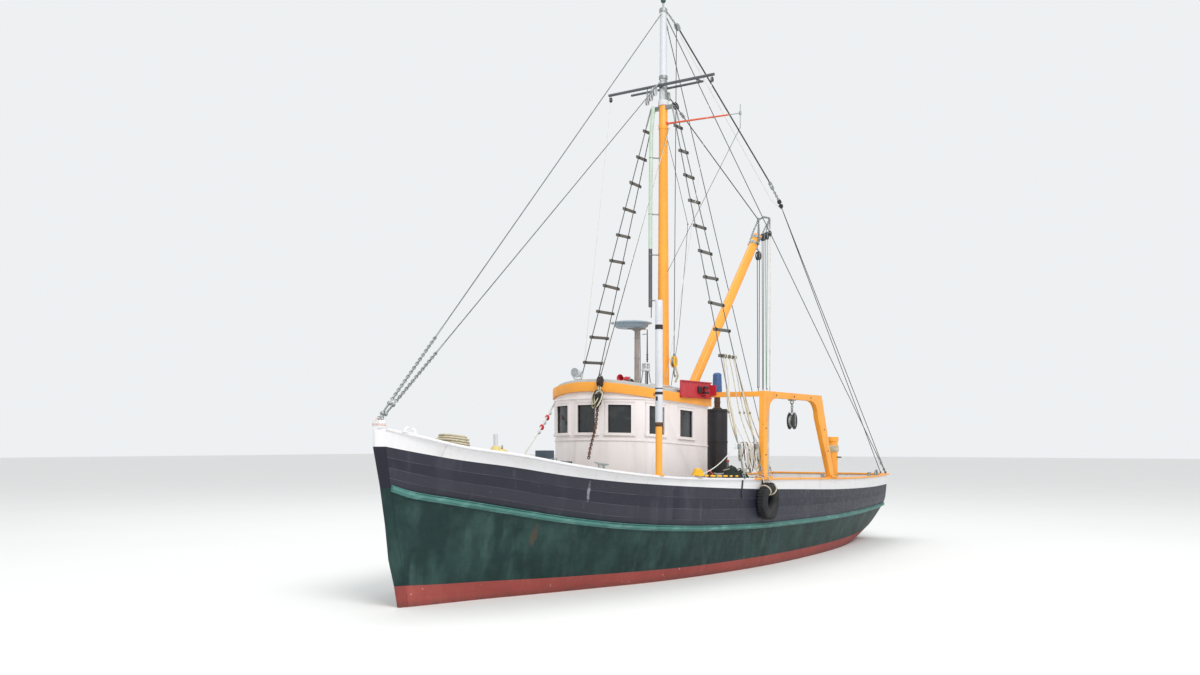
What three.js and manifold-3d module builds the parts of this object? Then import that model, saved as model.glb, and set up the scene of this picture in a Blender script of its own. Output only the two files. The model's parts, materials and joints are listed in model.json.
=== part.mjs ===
// A small wooden western-rigged dragger afloat, in millimetres.
// +X is the bow, +Y is port and +Z is up. The origin is on the centreline at the waterline, amidships.
import * as THREE from 'three';
import { mergeVertices } from 'three/addons/utils/BufferGeometryUtils.js';
import Module from 'manifold-3d';

const wasm = await Module();
wasm.setup();

// Driving dimensions. Places along the boat are given as the distance aft of the stem at the waterline.
const STEM_X = 6730;            // the stem at the waterline, forward of amidships
const GAP = 0.3;                // between pieces that touch
const STEM_HALF = 65;           // half the thickness of stem and keel
const KEEL_BOTTOM_FORE = -1200;
const KEEL_BOTTOM_AFT = -1520;
const STERNPOST_AFT = 12420;
const SHOE_AFT = 13420;
const SHOE_THICK = 75;
const BULWARK = 60;             // thickness of the bulwark planking
const CAP_THICK = 36;
const CAP_OVERHANG = 26;
const DECK_THICK = 35;
const BREAK_AFT = 4100;         // where the raised foredeck ends

const HOUSE_HALF = 950;
const HOUSE_FRONT_AFT = 4200;   // the middle of the rounded front
const HOUSE_NOSE = 600;         // depth of the rounded front
const HOUSE_SPLIT = 4560;       // where front and side walls meet
const HOUSE_BACK_AFT = 6450;
const HOUSE_WALL = 50;
const HOUSE_SLOPE = 0.045;      // the house follows the sheer: this much lower per unit aft
const HOUSE_LEVEL_AFT = 5400;   // heights of the house are given here
const ROOF_UNDER = 2775;
const ROOF_THICK = 150;
const ROOF_CAMBER = 85;
const ROOF_OVERHANG = 45;
const WINDOW_Z = 2430;
const WINDOW_HIGH = 445;

const MAST_X = 150;
const MAST_FOOT_Z = 600;
const MAST_FOOT_RADIUS = 120;
const MAST_HEAD_RADIUS = 74;
const MAST_TOP = 8020;
const TOPMAST_TOP = 9735;
const HOUNDS_Z = 7985;

const at = (aft) => STEM_X - aft;

// Small tools

function geometryFrom(solid) {
  const mesh = solid.getMesh();
  const geometry = new THREE.BufferGeometry();
  const points = new Float32Array(mesh.numVert * 3);
  for (let i = 0; i < mesh.numVert; i++) {
    for (let c = 0; c < 3; c++) points[3 * i + c] = mesh.vertProperties[mesh.numProp * i + c];
  }
  geometry.setAttribute('position', new THREE.BufferAttribute(points, 3));
  geometry.setIndex(new THREE.BufferAttribute(new Uint32Array(mesh.triVerts), 1));
  return geometry;
}

function solidFrom(geometry) {
  const bare = geometry.clone();
  bare.deleteAttribute('normal');
  bare.deleteAttribute('uv');
  const merged = mergeVertices(bare, 1e-3);
  return new wasm.Manifold(new wasm.Mesh({
    numProp: 3,
    vertProperties: new Float32Array(merged.attributes.position.array),
    triVerts: new Uint32Array(merged.index.array),
  }));
}

function join(...geometries) {
  return geometryFrom(geometries.map(solidFrom).reduce((a, b) => a.add(b)));
}

// What is left of a solid once the tools are cut from it: its largest piece.
function cut(geometry, ...tools) {
  const rest = tools.map(solidFrom).reduce((a, b) => a.subtract(b), solidFrom(geometry));
  const pieces = rest.decompose().sort((a, b) => b.volume() - a.volume());
  return geometryFrom(pieces[0]);
}

function moved(geometry, x = 0, y = 0, z = 0) {
  return geometry.clone().translate(x, y, z);
}

function box(x0, x1, y0, y1, z0, z1) {
  return new THREE.BoxGeometry(x1 - x0, y1 - y0, z1 - z0)
    .translate((x0 + x1) / 2, (y0 + y1) / 2, (z0 + z1) / 2);
}

// A round bar from one point to another, with its own radius at each end.
function bar(from, to, radiusFrom, radiusTo = radiusFrom, sides = 12) {
  const a = new THREE.Vector3(...from);
  const b = new THREE.Vector3(...to);
  const way = b.clone().sub(a);
  const turn = new THREE.Quaternion().setFromUnitVectors(
    new THREE.Vector3(0, 1, 0), way.clone().normalize());
  return new THREE.CylinderGeometry(radiusTo, radiusFrom, way.length(), sides)
    .applyQuaternion(turn)
    .translate((a.x + b.x) / 2, (a.y + b.y) / 2, (a.z + b.z) / 2);
}

// A squared bar from one point to another: width is across, height is up.
function squareBar(from, to, width, height) {
  const a = new THREE.Vector3(...from);
  const b = new THREE.Vector3(...to);
  const way = b.clone().sub(a);
  const along = way.clone().normalize();
  const across = new THREE.Vector3(0, 0, 1).cross(along).normalize();
  const up = along.clone().cross(across);
  const frame = new THREE.Matrix4().makeBasis(along, across, up);
  return new THREE.BoxGeometry(way.length(), width, height)
    .applyMatrix4(frame)
    .translate((a.x + b.x) / 2, (a.y + b.y) / 2, (a.z + b.z) / 2);
}

// Turns a closed mesh's faces round where they look inwards.
function outward(geometry) {
  if (solidFrom(geometry).volume() >= 0) return geometry;
  const index = [...geometry.index.array];
  for (let i = 0; i < index.length; i += 3) [index[i], index[i + 1]] = [index[i + 1], index[i]];
  geometry.setIndex(index);
  return geometry;
}

// A solid through closed sections that all have the same number of points. In sections that run up the
// port side and down the starboard side, the second half's faces are split the mirrored way.
function loft(sections, bothSides = false) {
  const n = sections[0].length;
  const points = sections.flat().flatMap((p) => [p.x, p.y, p.z]);
  const index = [];
  for (let k = 0; k + 1 < sections.length; k++) {
    for (let i = 0; i < n; i++) {
      const a = k * n + i;
      const b = k * n + (i + 1) % n;
      if (bothSides && i >= n / 2) index.push(a, a + n, b + n, a, b + n, b);
      else index.push(a, a + n, b, b, a + n, b + n);
    }
  }
  // The first cap keeps the section's own winding and the last one is turned round.
  for (const [k, first] of [[0, true], [sections.length - 1, false]]) {
    const outline = sections[k].map((p) => new THREE.Vector2(p.y, p.z));
    const winding = Math.sign(THREE.ShapeUtils.area(outline));
    for (const face of THREE.ShapeUtils.triangulateShape(outline, [])) {
      const own = Math.sign(THREE.ShapeUtils.area(face.map((i) => outline[i]))) === winding;
      const [a, b, c] = face.map((i) => k * n + i);
      index.push(...(own === first ? [a, b, c] : [c, b, a]));
    }
  }
  const geometry = new THREE.BufferGeometry();
  geometry.setAttribute('position', new THREE.Float32BufferAttribute(points, 3));
  geometry.setIndex(index);
  return outward(geometry);
}

// A plate: an outline in X and Z, given a thickness across the boat about y.
function plateXZ(outline, y, thick) {
  const shape = new THREE.Shape(outline.map(([x, z]) => new THREE.Vector2(x, z)));
  return new THREE.ExtrudeGeometry(shape, { depth: thick, bevelEnabled: false })
    .rotateX(Math.PI / 2)
    .translate(0, y + thick / 2, 0);
}

const group = new THREE.Group();

function add(name, geometry, colour, roughness = 0.7, metalness = 0) {
  const mesh = new THREE.Mesh(geometry, new THREE.MeshStandardMaterial({ color: colour, roughness,
    metalness }));
  mesh.name = name;
  group.add(mesh);
  return mesh;
}

function mirrored(geometry) {
  const other = geometry.clone().scale(1, -1, 1);
  const index = other.index ? other.index.array : null;
  if (index) {
    for (let i = 0; i < index.length; i += 3) [index[i], index[i + 1]] = [index[i + 1], index[i]];
    return other;
  }
  return geometryFrom(solidFrom(geometry).mirror([0, 1, 0]));
}

const WHITE = 0xe9e9e6;
const BLACK = 0x33343f;
const TEAL = 0x568c86;
const GREEN = 0x24403f;
const RED = 0x964b46;
const ORANGE = 0xf5a83c;
const WOOD = 0x8f8b80;
const WIRE = 0x6f7470;

// The hull's lines. Each row is a place aft of the stem; each level has its half breadth and its height.
const LINES = [
  // aft, rail, strake, deck, guard, boot, load, bilge, garboard, rabbet
  [0, [430, 2185], [330, 1978], [245, 1585], [190, 1450], [75, 275], [66, 0], null, null, null],
  [500, [700, 2062], [590, 1882], [480, 1475], [400, 1350], [215, 262], [180, 0], [66, -420], null, null],
  [1200, [1035, 1955], [910, 1782], [790, 1345], [695, 1215], [450, 247], [375, 0], [175, -440],
    [68, -790], null],
  [2000, [1315, 1818], [1200, 1655], [1090, 1195], [1005, 1065], [745, 225], [655, 0], [385, -445],
    [135, -830], [65, -960]],
  [3000, [1540, 1690], [1450, 1545], [1385, 1052], [1310, 922], [1065, 205], [985, 0], [700, -450],
    [320, -850], [65, -1010]],
  [4000, [1690, 1605], [1645, 1470], [1615, 962], [1560, 832], [1355, 190], [1290, 0], [1000, -455],
    [540, -870], [65, -1040]],
  [5000, [1795, 1560], [1770, 1410], [1760, 902], [1720, 772], [1560, 182], [1495, 0], [1215, -460],
    [715, -885], [65, -1060]],
  [6500, [1875, 1520], [1860, 1338], [1855, 852], [1830, 722], [1715, 180], [1665, 0], [1400, -465],
    [860, -900], [65, -1085]],
  [8000, [1885, 1490], [1872, 1285], [1870, 828], [1855, 698], [1755, 180], [1705, 0], [1440, -465],
    [890, -905], [65, -1100]],
  [10000, [1820, 1440], [1810, 1215], [1805, 815], [1790, 685], [1660, 185], [1590, 0], [1270, -430],
    [660, -850], [65, -1060]],
  [11500, [1710, 1415], [1700, 1185], [1692, 825], [1665, 695], [1485, 195], [1380, 0], [960, -330],
    [380, -690], [65, -900]],
  [12900, [1560, 1410], [1545, 1175], [1530, 845], [1480, 715], [1225, 215], [1080, 60], [600, -170],
    [230, -370], [65, -520]],
];
const LEVELS = ['rail', 'strake', 'deck', 'guard', 'boot', 'load', 'bilge', 'garboard', 'rabbet'];
// Where each level starts behind the stem, and where it ends at the transom: aft, half breadth, height.
const STEM_ENDS = {
  rail: [-290, STEM_HALF, 2290], strake: [-290, STEM_HALF, 2055], deck: [-225, STEM_HALF, 1660],
  guard: [-200, STEM_HALF, 1530], boot: [50, STEM_HALF, 280], load: [120, STEM_HALF, 0],
  bilge: [330, STEM_HALF, -430], garboard: [720, STEM_HALF, -770], rabbet: [1120, STEM_HALF, -920],
};
const TRANSOM_ENDS = {
  rail: [13950, 1425, 1430], strake: [13915, 1405, 1190], deck: [13860, 1385, 870],
  guard: [13840, 1335, 740], boot: [13760, 1010, 240], load: [13740, 840, 130],
  bilge: [13720, 560, 20], garboard: [13700, 280, -70], rabbet: [13690, 65, -120],
};

const levelCurves = LEVELS.map((name, j) => {
  const row = (aft, b, z) => new THREE.Vector3(at(aft), b, z);
  const points = [row(...STEM_ENDS[name])];
  for (const line of LINES) {
    if (line[j + 1] === null || line[0] < STEM_ENDS[name][0] + 200) continue;
    points.push(row(line[0], ...line[j + 1]));
  }
  points.push(row(...TRANSOM_ENDS[name]));
  return new THREE.CatmullRomCurve3(points, false, 'centripetal');
});

// Stations: closer together at the bow, with one just at the end of the raised foredeck.
const BREAK_STATION = 9;
const LAST_STATION = 21;
const HULL_LENGTH = TRANSOM_ENDS.rail[0] - STEM_ENDS.rail[0];
const BREAK_SHARE = (BREAK_AFT - STEM_ENDS.rail[0]) / HULL_LENGTH;
const shares = [];
for (let k = 0; k <= LAST_STATION; k++) {
  if (k <= BREAK_STATION) shares.push(BREAK_SHARE * (k / BREAK_STATION) ** 1.35);
  else shares.push(BREAK_SHARE + (1 - BREAK_SHARE) * (k - BREAK_STATION) / (LAST_STATION - BREAK_STATION));
}
// Each station is a smooth section from the rail down to the rabbet; level 2.5 is half way
// between the deck and the guard, and so on.
const sectionCurves = shares.map((share) => new THREE.CatmullRomCurve3(
  levelCurves.map((curve) => curve.getPointAt(share)), false, 'centripetal'));
const RAIL = 0;
const STRAKE = 1;
const DECK = 2;
const GUARD = 3;
const BOOT = 4;
const RABBET = 8;

function hullPoint(station, level) {
  return sectionCurves[station].getPoint(level / (LEVELS.length - 1));
}

const side = (p, sign) => new THREE.Vector3(p.x, sign * p.y, p.z);

// The ship's side at a level and a place along the boat.
function sideAt(level, x) {
  for (let k = 0; k < LAST_STATION; k++) {
    const a = hullPoint(k, level);
    const b = hullPoint(k + 1, level);
    if (x <= a.x && x >= b.x) return a.clone().lerp(b, (a.x - x) / (a.x - b.x));
  }
  return hullPoint(LAST_STATION, level);
}
const heightAt = (level, x) => sideAt(level, x).z;

// The levels at which the sections are sampled, from the rail down.
const ROWS = [RAIL, STRAKE, 1.5, DECK, GUARD, 3.35, 3.7, BOOT, 4.5, 5, 5.5, 6, 6.5, 7, 7.5, RABBET];

// The part of the hull between two levels, as a solid right across the boat, grown outwards where asked.
function hullSlice(upper, lower, first = 0, last = LAST_STATION, grow = 0) {
  const rows = ROWS.filter((level) => level >= upper && level <= lower).reverse();
  const sections = [];
  for (let k = first; k <= last; k++) {
    const port = rows.map((level) => hullPoint(k, level));
    port[0].z += GAP / 2;
    port[port.length - 1].z -= GAP / 2;
    for (const p of port) p.y += grow;
    sections.push([...port, ...port.map((p) => side(p, -1)).reverse()]);
  }
  return loft(sections, true);
}

add('hull_bottom', hullSlice(BOOT, RABBET), RED, 0.8);
add('hull_topsides', hullSlice(GUARD, BOOT), GREEN, 0.75);
add('sheer_strakes', hullSlice(DECK, GUARD), BLACK, 0.6);
const BREAK_X = at(BREAK_AFT);
const aftOfBreak = box(BREAK_X - 20000, BREAK_X, -3000, 3000, -3000, 4000);
const foreOfBreak = box(BREAK_X - GAP, BREAK_X + 20000, -3000, 3000, -3000, 4000);
add('forecastle', cut(hullSlice(STRAKE, DECK, 0, BREAK_STATION + 2), aftOfBreak), BLACK, 0.6);

// The stem, keel and sternpost in one profile, with the iron shoe that carries the rudder's heel.
// Its inner edge is the planking's edge; its outer edge is the stem's face and the keel's bottom. The stem
// narrows to its face, and its head stands up behind the face.
const STEMHEAD_Z = 2385;
const STEM_SHOULDER_Z = 2290;
const STEM_FACE_HALF = 25;
const STEM_HEAD = [[-395, STEMHEAD_Z], [-400, STEM_SHOULDER_Z]];
const STEM_FACE = [
  // aft, height
  [-430, STEM_SHOULDER_Z - 8], [-430, 2060], [-310, 1560], [-220, 1070], [-160, 620], [-60, 280], [0, 0],
  [130, -400], [420, -800], [820, -1060], [1400, KEEL_BOTTOM_FORE],
];
const inner = [];
for (const level of ROWS) {
  const p = hullPoint(0, level);
  inner.push([p.x + GAP, p.z]);
}
for (let k = 1; k <= LAST_STATION; k++) {
  const p = hullPoint(k, RABBET);
  if (p.x > at(STERNPOST_AFT) + 30) inner.push([p.x, p.z - GAP]);
}
const keelProfile = [
  ...[...STEM_HEAD, ...STEM_FACE].map(([aft, z]) => [at(aft), z]),
  [at(SHOE_AFT), KEEL_BOTTOM_AFT],
  [at(SHOE_AFT), KEEL_BOTTOM_AFT + SHOE_THICK],
  [at(STERNPOST_AFT), KEEL_BOTTOM_AFT + SHOE_THICK],
  [at(STERNPOST_AFT), heightAt(RABBET, at(STERNPOST_AFT)) - GAP],
  ...inner.reverse(),
  [at(STEM_ENDS.rail[0]) + GAP, STEMHEAD_Z],
];
// Half the thickness at each point of the profile: thin at the stem's face, full elsewhere.
const isFace = (i) => i >= STEM_HEAD.length && i < STEM_HEAD.length + STEM_FACE.length - 3;
function keelPlate() {
  const edge = keelProfile.map(([x, z], i) => [x, z, isFace(i) ? STEM_FACE_HALF : STEM_HALF]);
  const flat = () => edge.map(([x, z]) => new THREE.Vector2(x, z));
  if (THREE.ShapeUtils.isClockWise(flat())) edge.reverse();
  const n = edge.length;
  const points = [1, -1].flatMap((sign) => edge.flatMap(([x, z, half]) => [x, sign * half, z]));
  const index = [];
  for (const [a, b, c] of THREE.ShapeUtils.triangulateShape(flat(), [])) {
    index.push(a, b, c, c + n, b + n, a + n);
  }
  for (let i = 0; i < n; i++) {
    const j = (i + 1) % n;
    index.push(i, i + n, j + n, i, j + n, j);
  }
  const geometry = new THREE.BufferGeometry();
  geometry.setAttribute('position', new THREE.Float32BufferAttribute(points, 3));
  geometry.setIndex(index);
  return outward(geometry);
}
add('keel_and_stem', keelPlate(), RED, 0.75);

// Guard rails: a half-round batten outside the planking on each side.
const GUARD_HALF = 46;
const GUARD_PROUD = 48;
function guardRail() {
  const sections = [];
  for (let k = 0; k <= LAST_STATION; k++) {
    const middle = hullPoint(k, GUARD);
    const above = hullPoint(k, DECK);
    const below = hullPoint(k, 3.35);
    const up = middle.clone().lerp(above, GUARD_HALF / (above.z - middle.z));
    const down = middle.clone().lerp(below, GUARD_HALF / (middle.z - below.z));
    const shape = [
      [down, -30, 0], [middle, -30, 0], [up, -30, 0],
      [up, GUARD_PROUD * 0.7, -8], [middle, GUARD_PROUD, 20], [middle, GUARD_PROUD, -20],
      [down, GUARD_PROUD * 0.7, 8],
    ];
    sections.push(shape.map(([p, out, rise]) => new THREE.Vector3(p.x, p.y + out, p.z + rise)));
  }
  const foreEnd = hullPoint(0, GUARD).x - 12;
  const aftEnd = hullPoint(LAST_STATION, GUARD).x + 16;
  return cut(loft(sections), hullSlice(DECK, BOOT, 0, LAST_STATION, 2 * GAP),
    box(foreEnd, foreEnd + 500, -200, 200, 1000, 2000), box(aftEnd - 500, aftEnd, -1700, 1700, 0, 1500));
}
add('guard_port', guardRail(), TEAL, 0.6);
add('guard_starboard', mirrored(guardRail()), TEAL, 0.6);

// Walls that follow the ship's side: outer and inner face between two levels. Their top lies lower than
// the upper level by topDrop(station).
function sideWall(upper, lower, thick, first, last, topDrop = () => 0) {
  const sections = [];
  for (let k = first; k <= last; k++) {
    const low = hullPoint(k, lower);
    const high = hullPoint(k, upper);
    const inLow = Math.max(low.y - thick, 8);
    const inHigh = Math.max(high.y - thick, 8);
    sections.push([
      new THREE.Vector3(low.x, low.y, low.z + GAP / 2),
      new THREE.Vector3(high.x, high.y, high.z - topDrop(k)),
      new THREE.Vector3(high.x, inHigh, high.z - topDrop(k)),
      new THREE.Vector3(low.x, inLow, low.z + GAP / 2),
    ]);
  }
  return loft(sections);
}

// The transom's walls close the stern between the two sides.
function sternWall(upper, lower, thick, topDrop = 0) {
  const low = hullPoint(LAST_STATION, lower);
  const high = hullPoint(LAST_STATION, upper);
  const halfLow = low.y - BULWARK - GAP;
  const halfHigh = high.y - BULWARK - GAP;
  const wall = (sign) => [
    new THREE.Vector3(low.x, sign * halfLow, low.z + GAP / 2),
    new THREE.Vector3(high.x, sign * halfHigh, high.z - topDrop),
    new THREE.Vector3(high.x + thick, sign * halfHigh, high.z - topDrop),
    new THREE.Vector3(low.x + thick, sign * halfLow, low.z + GAP / 2),
  ];
  const left = wall(1);
  const right = wall(-1);
  const points = [...left, ...right].flatMap((p) => [p.x, p.y, p.z]);
  const quads = [[0, 1, 2, 3], [7, 6, 5, 4], [0, 4, 5, 1], [1, 5, 6, 2], [2, 6, 7, 3], [3, 7, 4, 0]];
  const index = quads.flatMap(([a, b, c, d]) => [a, b, c, a, c, d]);
  const geometry = new THREE.BufferGeometry();
  geometry.setAttribute('position', new THREE.Float32BufferAttribute(points, 3));
  geometry.setIndex(index);
  return outward(geometry);
}

const CAP_FIRST = 12;           // the station where the orange cap rail takes over from the white one

// Frames stand inside the bulwarks. Each is let into the planking below the white band, and stands free of
// the band above it.
const FRAME = { first: 2300, pitch: 560, count: 17, wide: 75, deep: 62, headDeep: 42, letIn: 20,
  free: 16, over: 4 };
function bulwarkFrame(x) {
  const sections = [x + FRAME.wide / 2, x - FRAME.wide / 2].map((place) => {
    const low = sideAt(DECK, place);
    const knee = sideAt(STRAKE, place);
    const top = sideAt(RAIL, place);
    const footZ = low.z + DECK_THICK + FRAME.over;
    const headZ = top.z - CAP_THICK - 2 * GAP;
    return [
      [low.y - BULWARK + FRAME.letIn, footZ], [knee.y - BULWARK + FRAME.letIn, knee.z - 8],
      [knee.y - BULWARK - FRAME.free, knee.z - 8], [top.y - BULWARK - FRAME.free, headZ],
      [top.y - BULWARK - FRAME.headDeep, headZ], [low.y - BULWARK - FRAME.deep, footZ],
    ].map(([y, z]) => new THREE.Vector3(place, y, z));
  });
  return loft(sections);
}
const bulwarkFrames = [];
for (let i = 0; i < FRAME.count; i++) bulwarkFrames.push(bulwarkFrame(FRAME.first - FRAME.pitch * i));
const bulwarkWall = cut(sideWall(STRAKE, DECK, BULWARK, BREAK_STATION - 2, LAST_STATION), foreOfBreak);
const bulwark = join(bulwarkWall, ...bulwarkFrames);
add('bulwark_port', bulwark, BLACK, 0.6);
add('bulwark_starboard', mirrored(bulwark), BLACK, 0.6);
add('bulwark_transom', sternWall(STRAKE, DECK, BULWARK), BLACK, 0.6);

function capRail(first, last) {
  const sections = [];
  for (let k = first; k <= last; k++) {
    const rail = hullPoint(k, RAIL);
    const out = rail.y + CAP_OVERHANG;
    const into = Math.max(rail.y - BULWARK - CAP_OVERHANG, 8);
    sections.push([
      new THREE.Vector3(rail.x, out, rail.z - CAP_THICK),
      new THREE.Vector3(rail.x, out, rail.z),
      new THREE.Vector3(rail.x, into, rail.z),
      new THREE.Vector3(rail.x, into, rail.z - CAP_THICK),
    ]);
  }
  return loft(sections);
}

// The white rail band carries its own cap forward, with a chock at the bow. On the port side a pole stands
// on it, a little before the wheelhouse.
const CHOCK = { x: 6830, long: 200, wide: 75, horn: 62, high: 58 };
function bowChock() {
  const foot = sideAt(RAIL, CHOCK.x);
  const y = foot.y - 30;
  const horns = [-1, 1].map((s) => bar([CHOCK.x + s * CHOCK.horn, y, foot.z + 8],
    [CHOCK.x + s * (CHOCK.horn - 25), y, foot.z + CHOCK.high], 25, 13, 8));
  return join(squareBar([CHOCK.x - CHOCK.long / 2, y, foot.z + 2], [CHOCK.x + CHOCK.long / 2, y, foot.z + 12],
    CHOCK.wide, 26), ...horns);
}
const RAIL_POLE = { x: 3000, radius: 55, collarZ: 2375, collar: 66, top: 4200 };
function railPole() {
  const { x, radius, collarZ, collar, top } = RAIL_POLE;
  const foot = sideAt(RAIL, x);
  const y = foot.y - 30;
  return join(bar([x, y, foot.z - 10], [x, y, collarZ], radius - 4, radius - 4, 14),
    bar([x, y, collarZ - 30], [x, y, collarZ + 30], collar, collar, 14),
    bar([x, y, collarZ], [x, y, top], radius, radius, 14));
}
const bandTop = (k) => (k < CAP_FIRST ? CAP_THICK / 2 : CAP_THICK + GAP);
const railBand = join(sideWall(RAIL, STRAKE, BULWARK, 0, LAST_STATION, bandTop), capRail(0, CAP_FIRST),
  bowChock());
add('rail_band_port', join(railBand, railPole()), WHITE, 0.6);
add('rail_band_starboard', mirrored(railBand), WHITE, 0.6);

// The orange cap aft of it.
const aftCap = moved(capRail(CAP_FIRST, LAST_STATION), -GAP);
add('cap_rail_port_aft', aftCap, ORANGE, 0.55);
add('cap_rail_starboard_aft', mirrored(aftCap), ORANGE, 0.55);
const aftCapSeat = moved(aftCap, 0, 0, -GAP);
add('rail_band_transom', cut(sternWall(RAIL, STRAKE, BULWARK, CAP_THICK + GAP), aftCapSeat,
  mirrored(aftCapSeat)), WHITE, 0.6);
const sternRail = hullPoint(LAST_STATION, RAIL);
const sternCapHalf = sternRail.y - BULWARK - CAP_OVERHANG - GAP;
add('cap_rail_transom', box(sternRail.x - CAP_OVERHANG, sternRail.x + BULWARK + CAP_OVERHANG,
  -sternCapHalf, sternCapHalf, sternRail.z - CAP_THICK, sternRail.z), ORANGE, 0.55);

// The decks lie between the bulwarks.
function deckSlab(level, first, last, thick, inset) {
  const sections = [];
  for (let k = first; k <= last; k++) {
    const p = hullPoint(k, level);
    const half = Math.max(p.y - inset, 4);
    const x = k === last && level === DECK ? p.x + BULWARK + 2 : p.x;
    sections.push([
      new THREE.Vector3(x, half, p.z + GAP), new THREE.Vector3(x, half, p.z + thick),
      new THREE.Vector3(x, -half, p.z + thick), new THREE.Vector3(x, -half, p.z + GAP),
    ]);
  }
  return loft(sections);
}
const deckInset = BULWARK + 6;
add('main_deck', cut(deckSlab(DECK, BREAK_STATION - 2, LAST_STATION, DECK_THICK, deckInset),
  foreOfBreak), WOOD, 0.85);
add('foredeck', cut(deckSlab(STRAKE, 2, BREAK_STATION + 2, DECK_THICK, deckInset + 4), aftOfBreak),
  WOOD, 0.85);

// What stands on a deck is cut to that deck's top.
function underDeck(level, first, last) {
  const sections = [];
  for (let k = first; k <= last; k++) {
    const p = hullPoint(k, level);
    const top = p.z + DECK_THICK + GAP;
    sections.push([
      new THREE.Vector3(p.x, 2500, -3000), new THREE.Vector3(p.x, 2500, top),
      new THREE.Vector3(p.x, -2500, top), new THREE.Vector3(p.x, -2500, -3000),
    ]);
  }
  return loft(sections);
}
const underMainDeck = underDeck(DECK, BREAK_STATION - 2, LAST_STATION);
const underForedeck = underDeck(STRAKE, 0, BREAK_STATION + 2);
const mainDeckAt = (x) => heightAt(DECK, x) + DECK_THICK;

// What stands on the rail is cut to the cap's top.
function underCap() {
  const sections = [];
  for (let k = CAP_FIRST - 1; k <= LAST_STATION; k++) {
    const rail = hullPoint(k, RAIL);
    sections.push([
      new THREE.Vector3(rail.x, 2400, rail.z + GAP), new THREE.Vector3(rail.x, 1200, rail.z + GAP),
      new THREE.Vector3(rail.x, 1200, rail.z - 600), new THREE.Vector3(rail.x, 2400, rail.z - 600),
    ]);
  }
  return loft(sections);
}

// Wheelhouse: a rounded front, two sides, an aft wall with the door, and a cambered roof.
function sloped(geometry) {
  const result = geometry.clone();
  const place = result.attributes.position;
  for (let i = 0; i < place.count; i++) {
    place.setZ(i, place.getZ(i) + HOUSE_SLOPE * (place.getX(i) - at(HOUSE_LEVEL_AFT)));
  }
  return result;
}

// Half the width of the house's outline at a place, grown by some amount.
function outlinePoint(angle, grow) {
  return [at(HOUSE_FRONT_AFT + HOUSE_NOSE) + (HOUSE_NOSE + grow) * Math.cos(angle),
    (HOUSE_HALF + grow) * Math.sin(angle)];
}
const SPLIT_ANGLE = Math.acos((HOUSE_FRONT_AFT + HOUSE_NOSE - HOUSE_SPLIT) / HOUSE_NOSE);

function wallFromPlan(outer, inner2, z0, z1) {
  const shape = new THREE.Shape([...outer, ...inner2.reverse()].map(([x, y]) => new THREE.Vector2(x, y)));
  return new THREE.ExtrudeGeometry(shape, { depth: z1 - z0, bevelEnabled: false }).translate(0, 0, z0);
}
function arc(from, to, steps, grow) {
  const points = [];
  for (let i = 0; i <= steps; i++) points.push(outlinePoint(from + (to - from) * i / steps, grow));
  return points;
}

// The roof: one section across per place, cambered above and below. Its plan is grown by some amount.
const ROOF_SHARES = [-1, -0.66, -0.33, 0, 0.33, 0.66, 1];
function roofSection(x, half, z0, z1) {
  const camber = (v) => ROOF_CAMBER * (1 - (v * half / HOUSE_HALF) ** 2);
  const below = ROOF_SHARES.map((v) => new THREE.Vector3(x, v * half, z0 + camber(v)));
  const above = ROOF_SHARES.map((v) => new THREE.Vector3(x, v * half, z1 + camber(v)));
  return [...below, ...above.reverse()];
}
function roofPlan(grow) {
  const places = [];
  for (let i = 0; i <= 8; i++) places.push(outlinePoint(0.12 + (Math.PI / 2 - 0.12) * i / 8, grow));
  places.push([at(HOUSE_BACK_AFT) - grow - 15, HOUSE_HALF + grow]);
  return places;
}
const roofPlaces = roofPlan(ROOF_OVERHANG);
const roof = loft(roofPlaces.map(([x, half]) => roofSection(x, half, ROOF_UNDER, ROOF_UNDER + ROOF_THICK)));
const overRoof = loft(roofPlaces.map(([x, half]) =>
  roofSection(x, half, ROOF_UNDER - GAP, ROOF_UNDER + 1500)));
// What stands on the roof, or against its edge, is cut to it.
const roofSeat = sloped(loft(roofPlaces.map(([x, half], i) => roofSection(
  x + (i === 0 ? GAP : 0), half + GAP, ROOF_UNDER - GAP, ROOF_UNDER + ROOF_THICK + GAP))));
// A low coaming runs round the roof, inside its edge.
const COAMING = { outside: -45, inside: -75, high: 52 };
const coamingPlace = (grow, z0, z1) => loft(roofPlan(grow).map(([x, half]) => roofSection(x, half, z0, z1)));
const coaming = cut(coamingPlace(COAMING.outside, ROOF_UNDER + 100, ROOF_UNDER + ROOF_THICK + COAMING.high),
  coamingPlace(COAMING.inside, ROOF_UNDER, ROOF_UNDER + ROOF_THICK + 200));
const roofTopAt = (x, y) => ROOF_UNDER + ROOF_THICK + ROOF_CAMBER * (1 - (y / HOUSE_HALF) ** 2)
  + HOUSE_SLOPE * (x - at(HOUSE_LEVEL_AFT));
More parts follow.
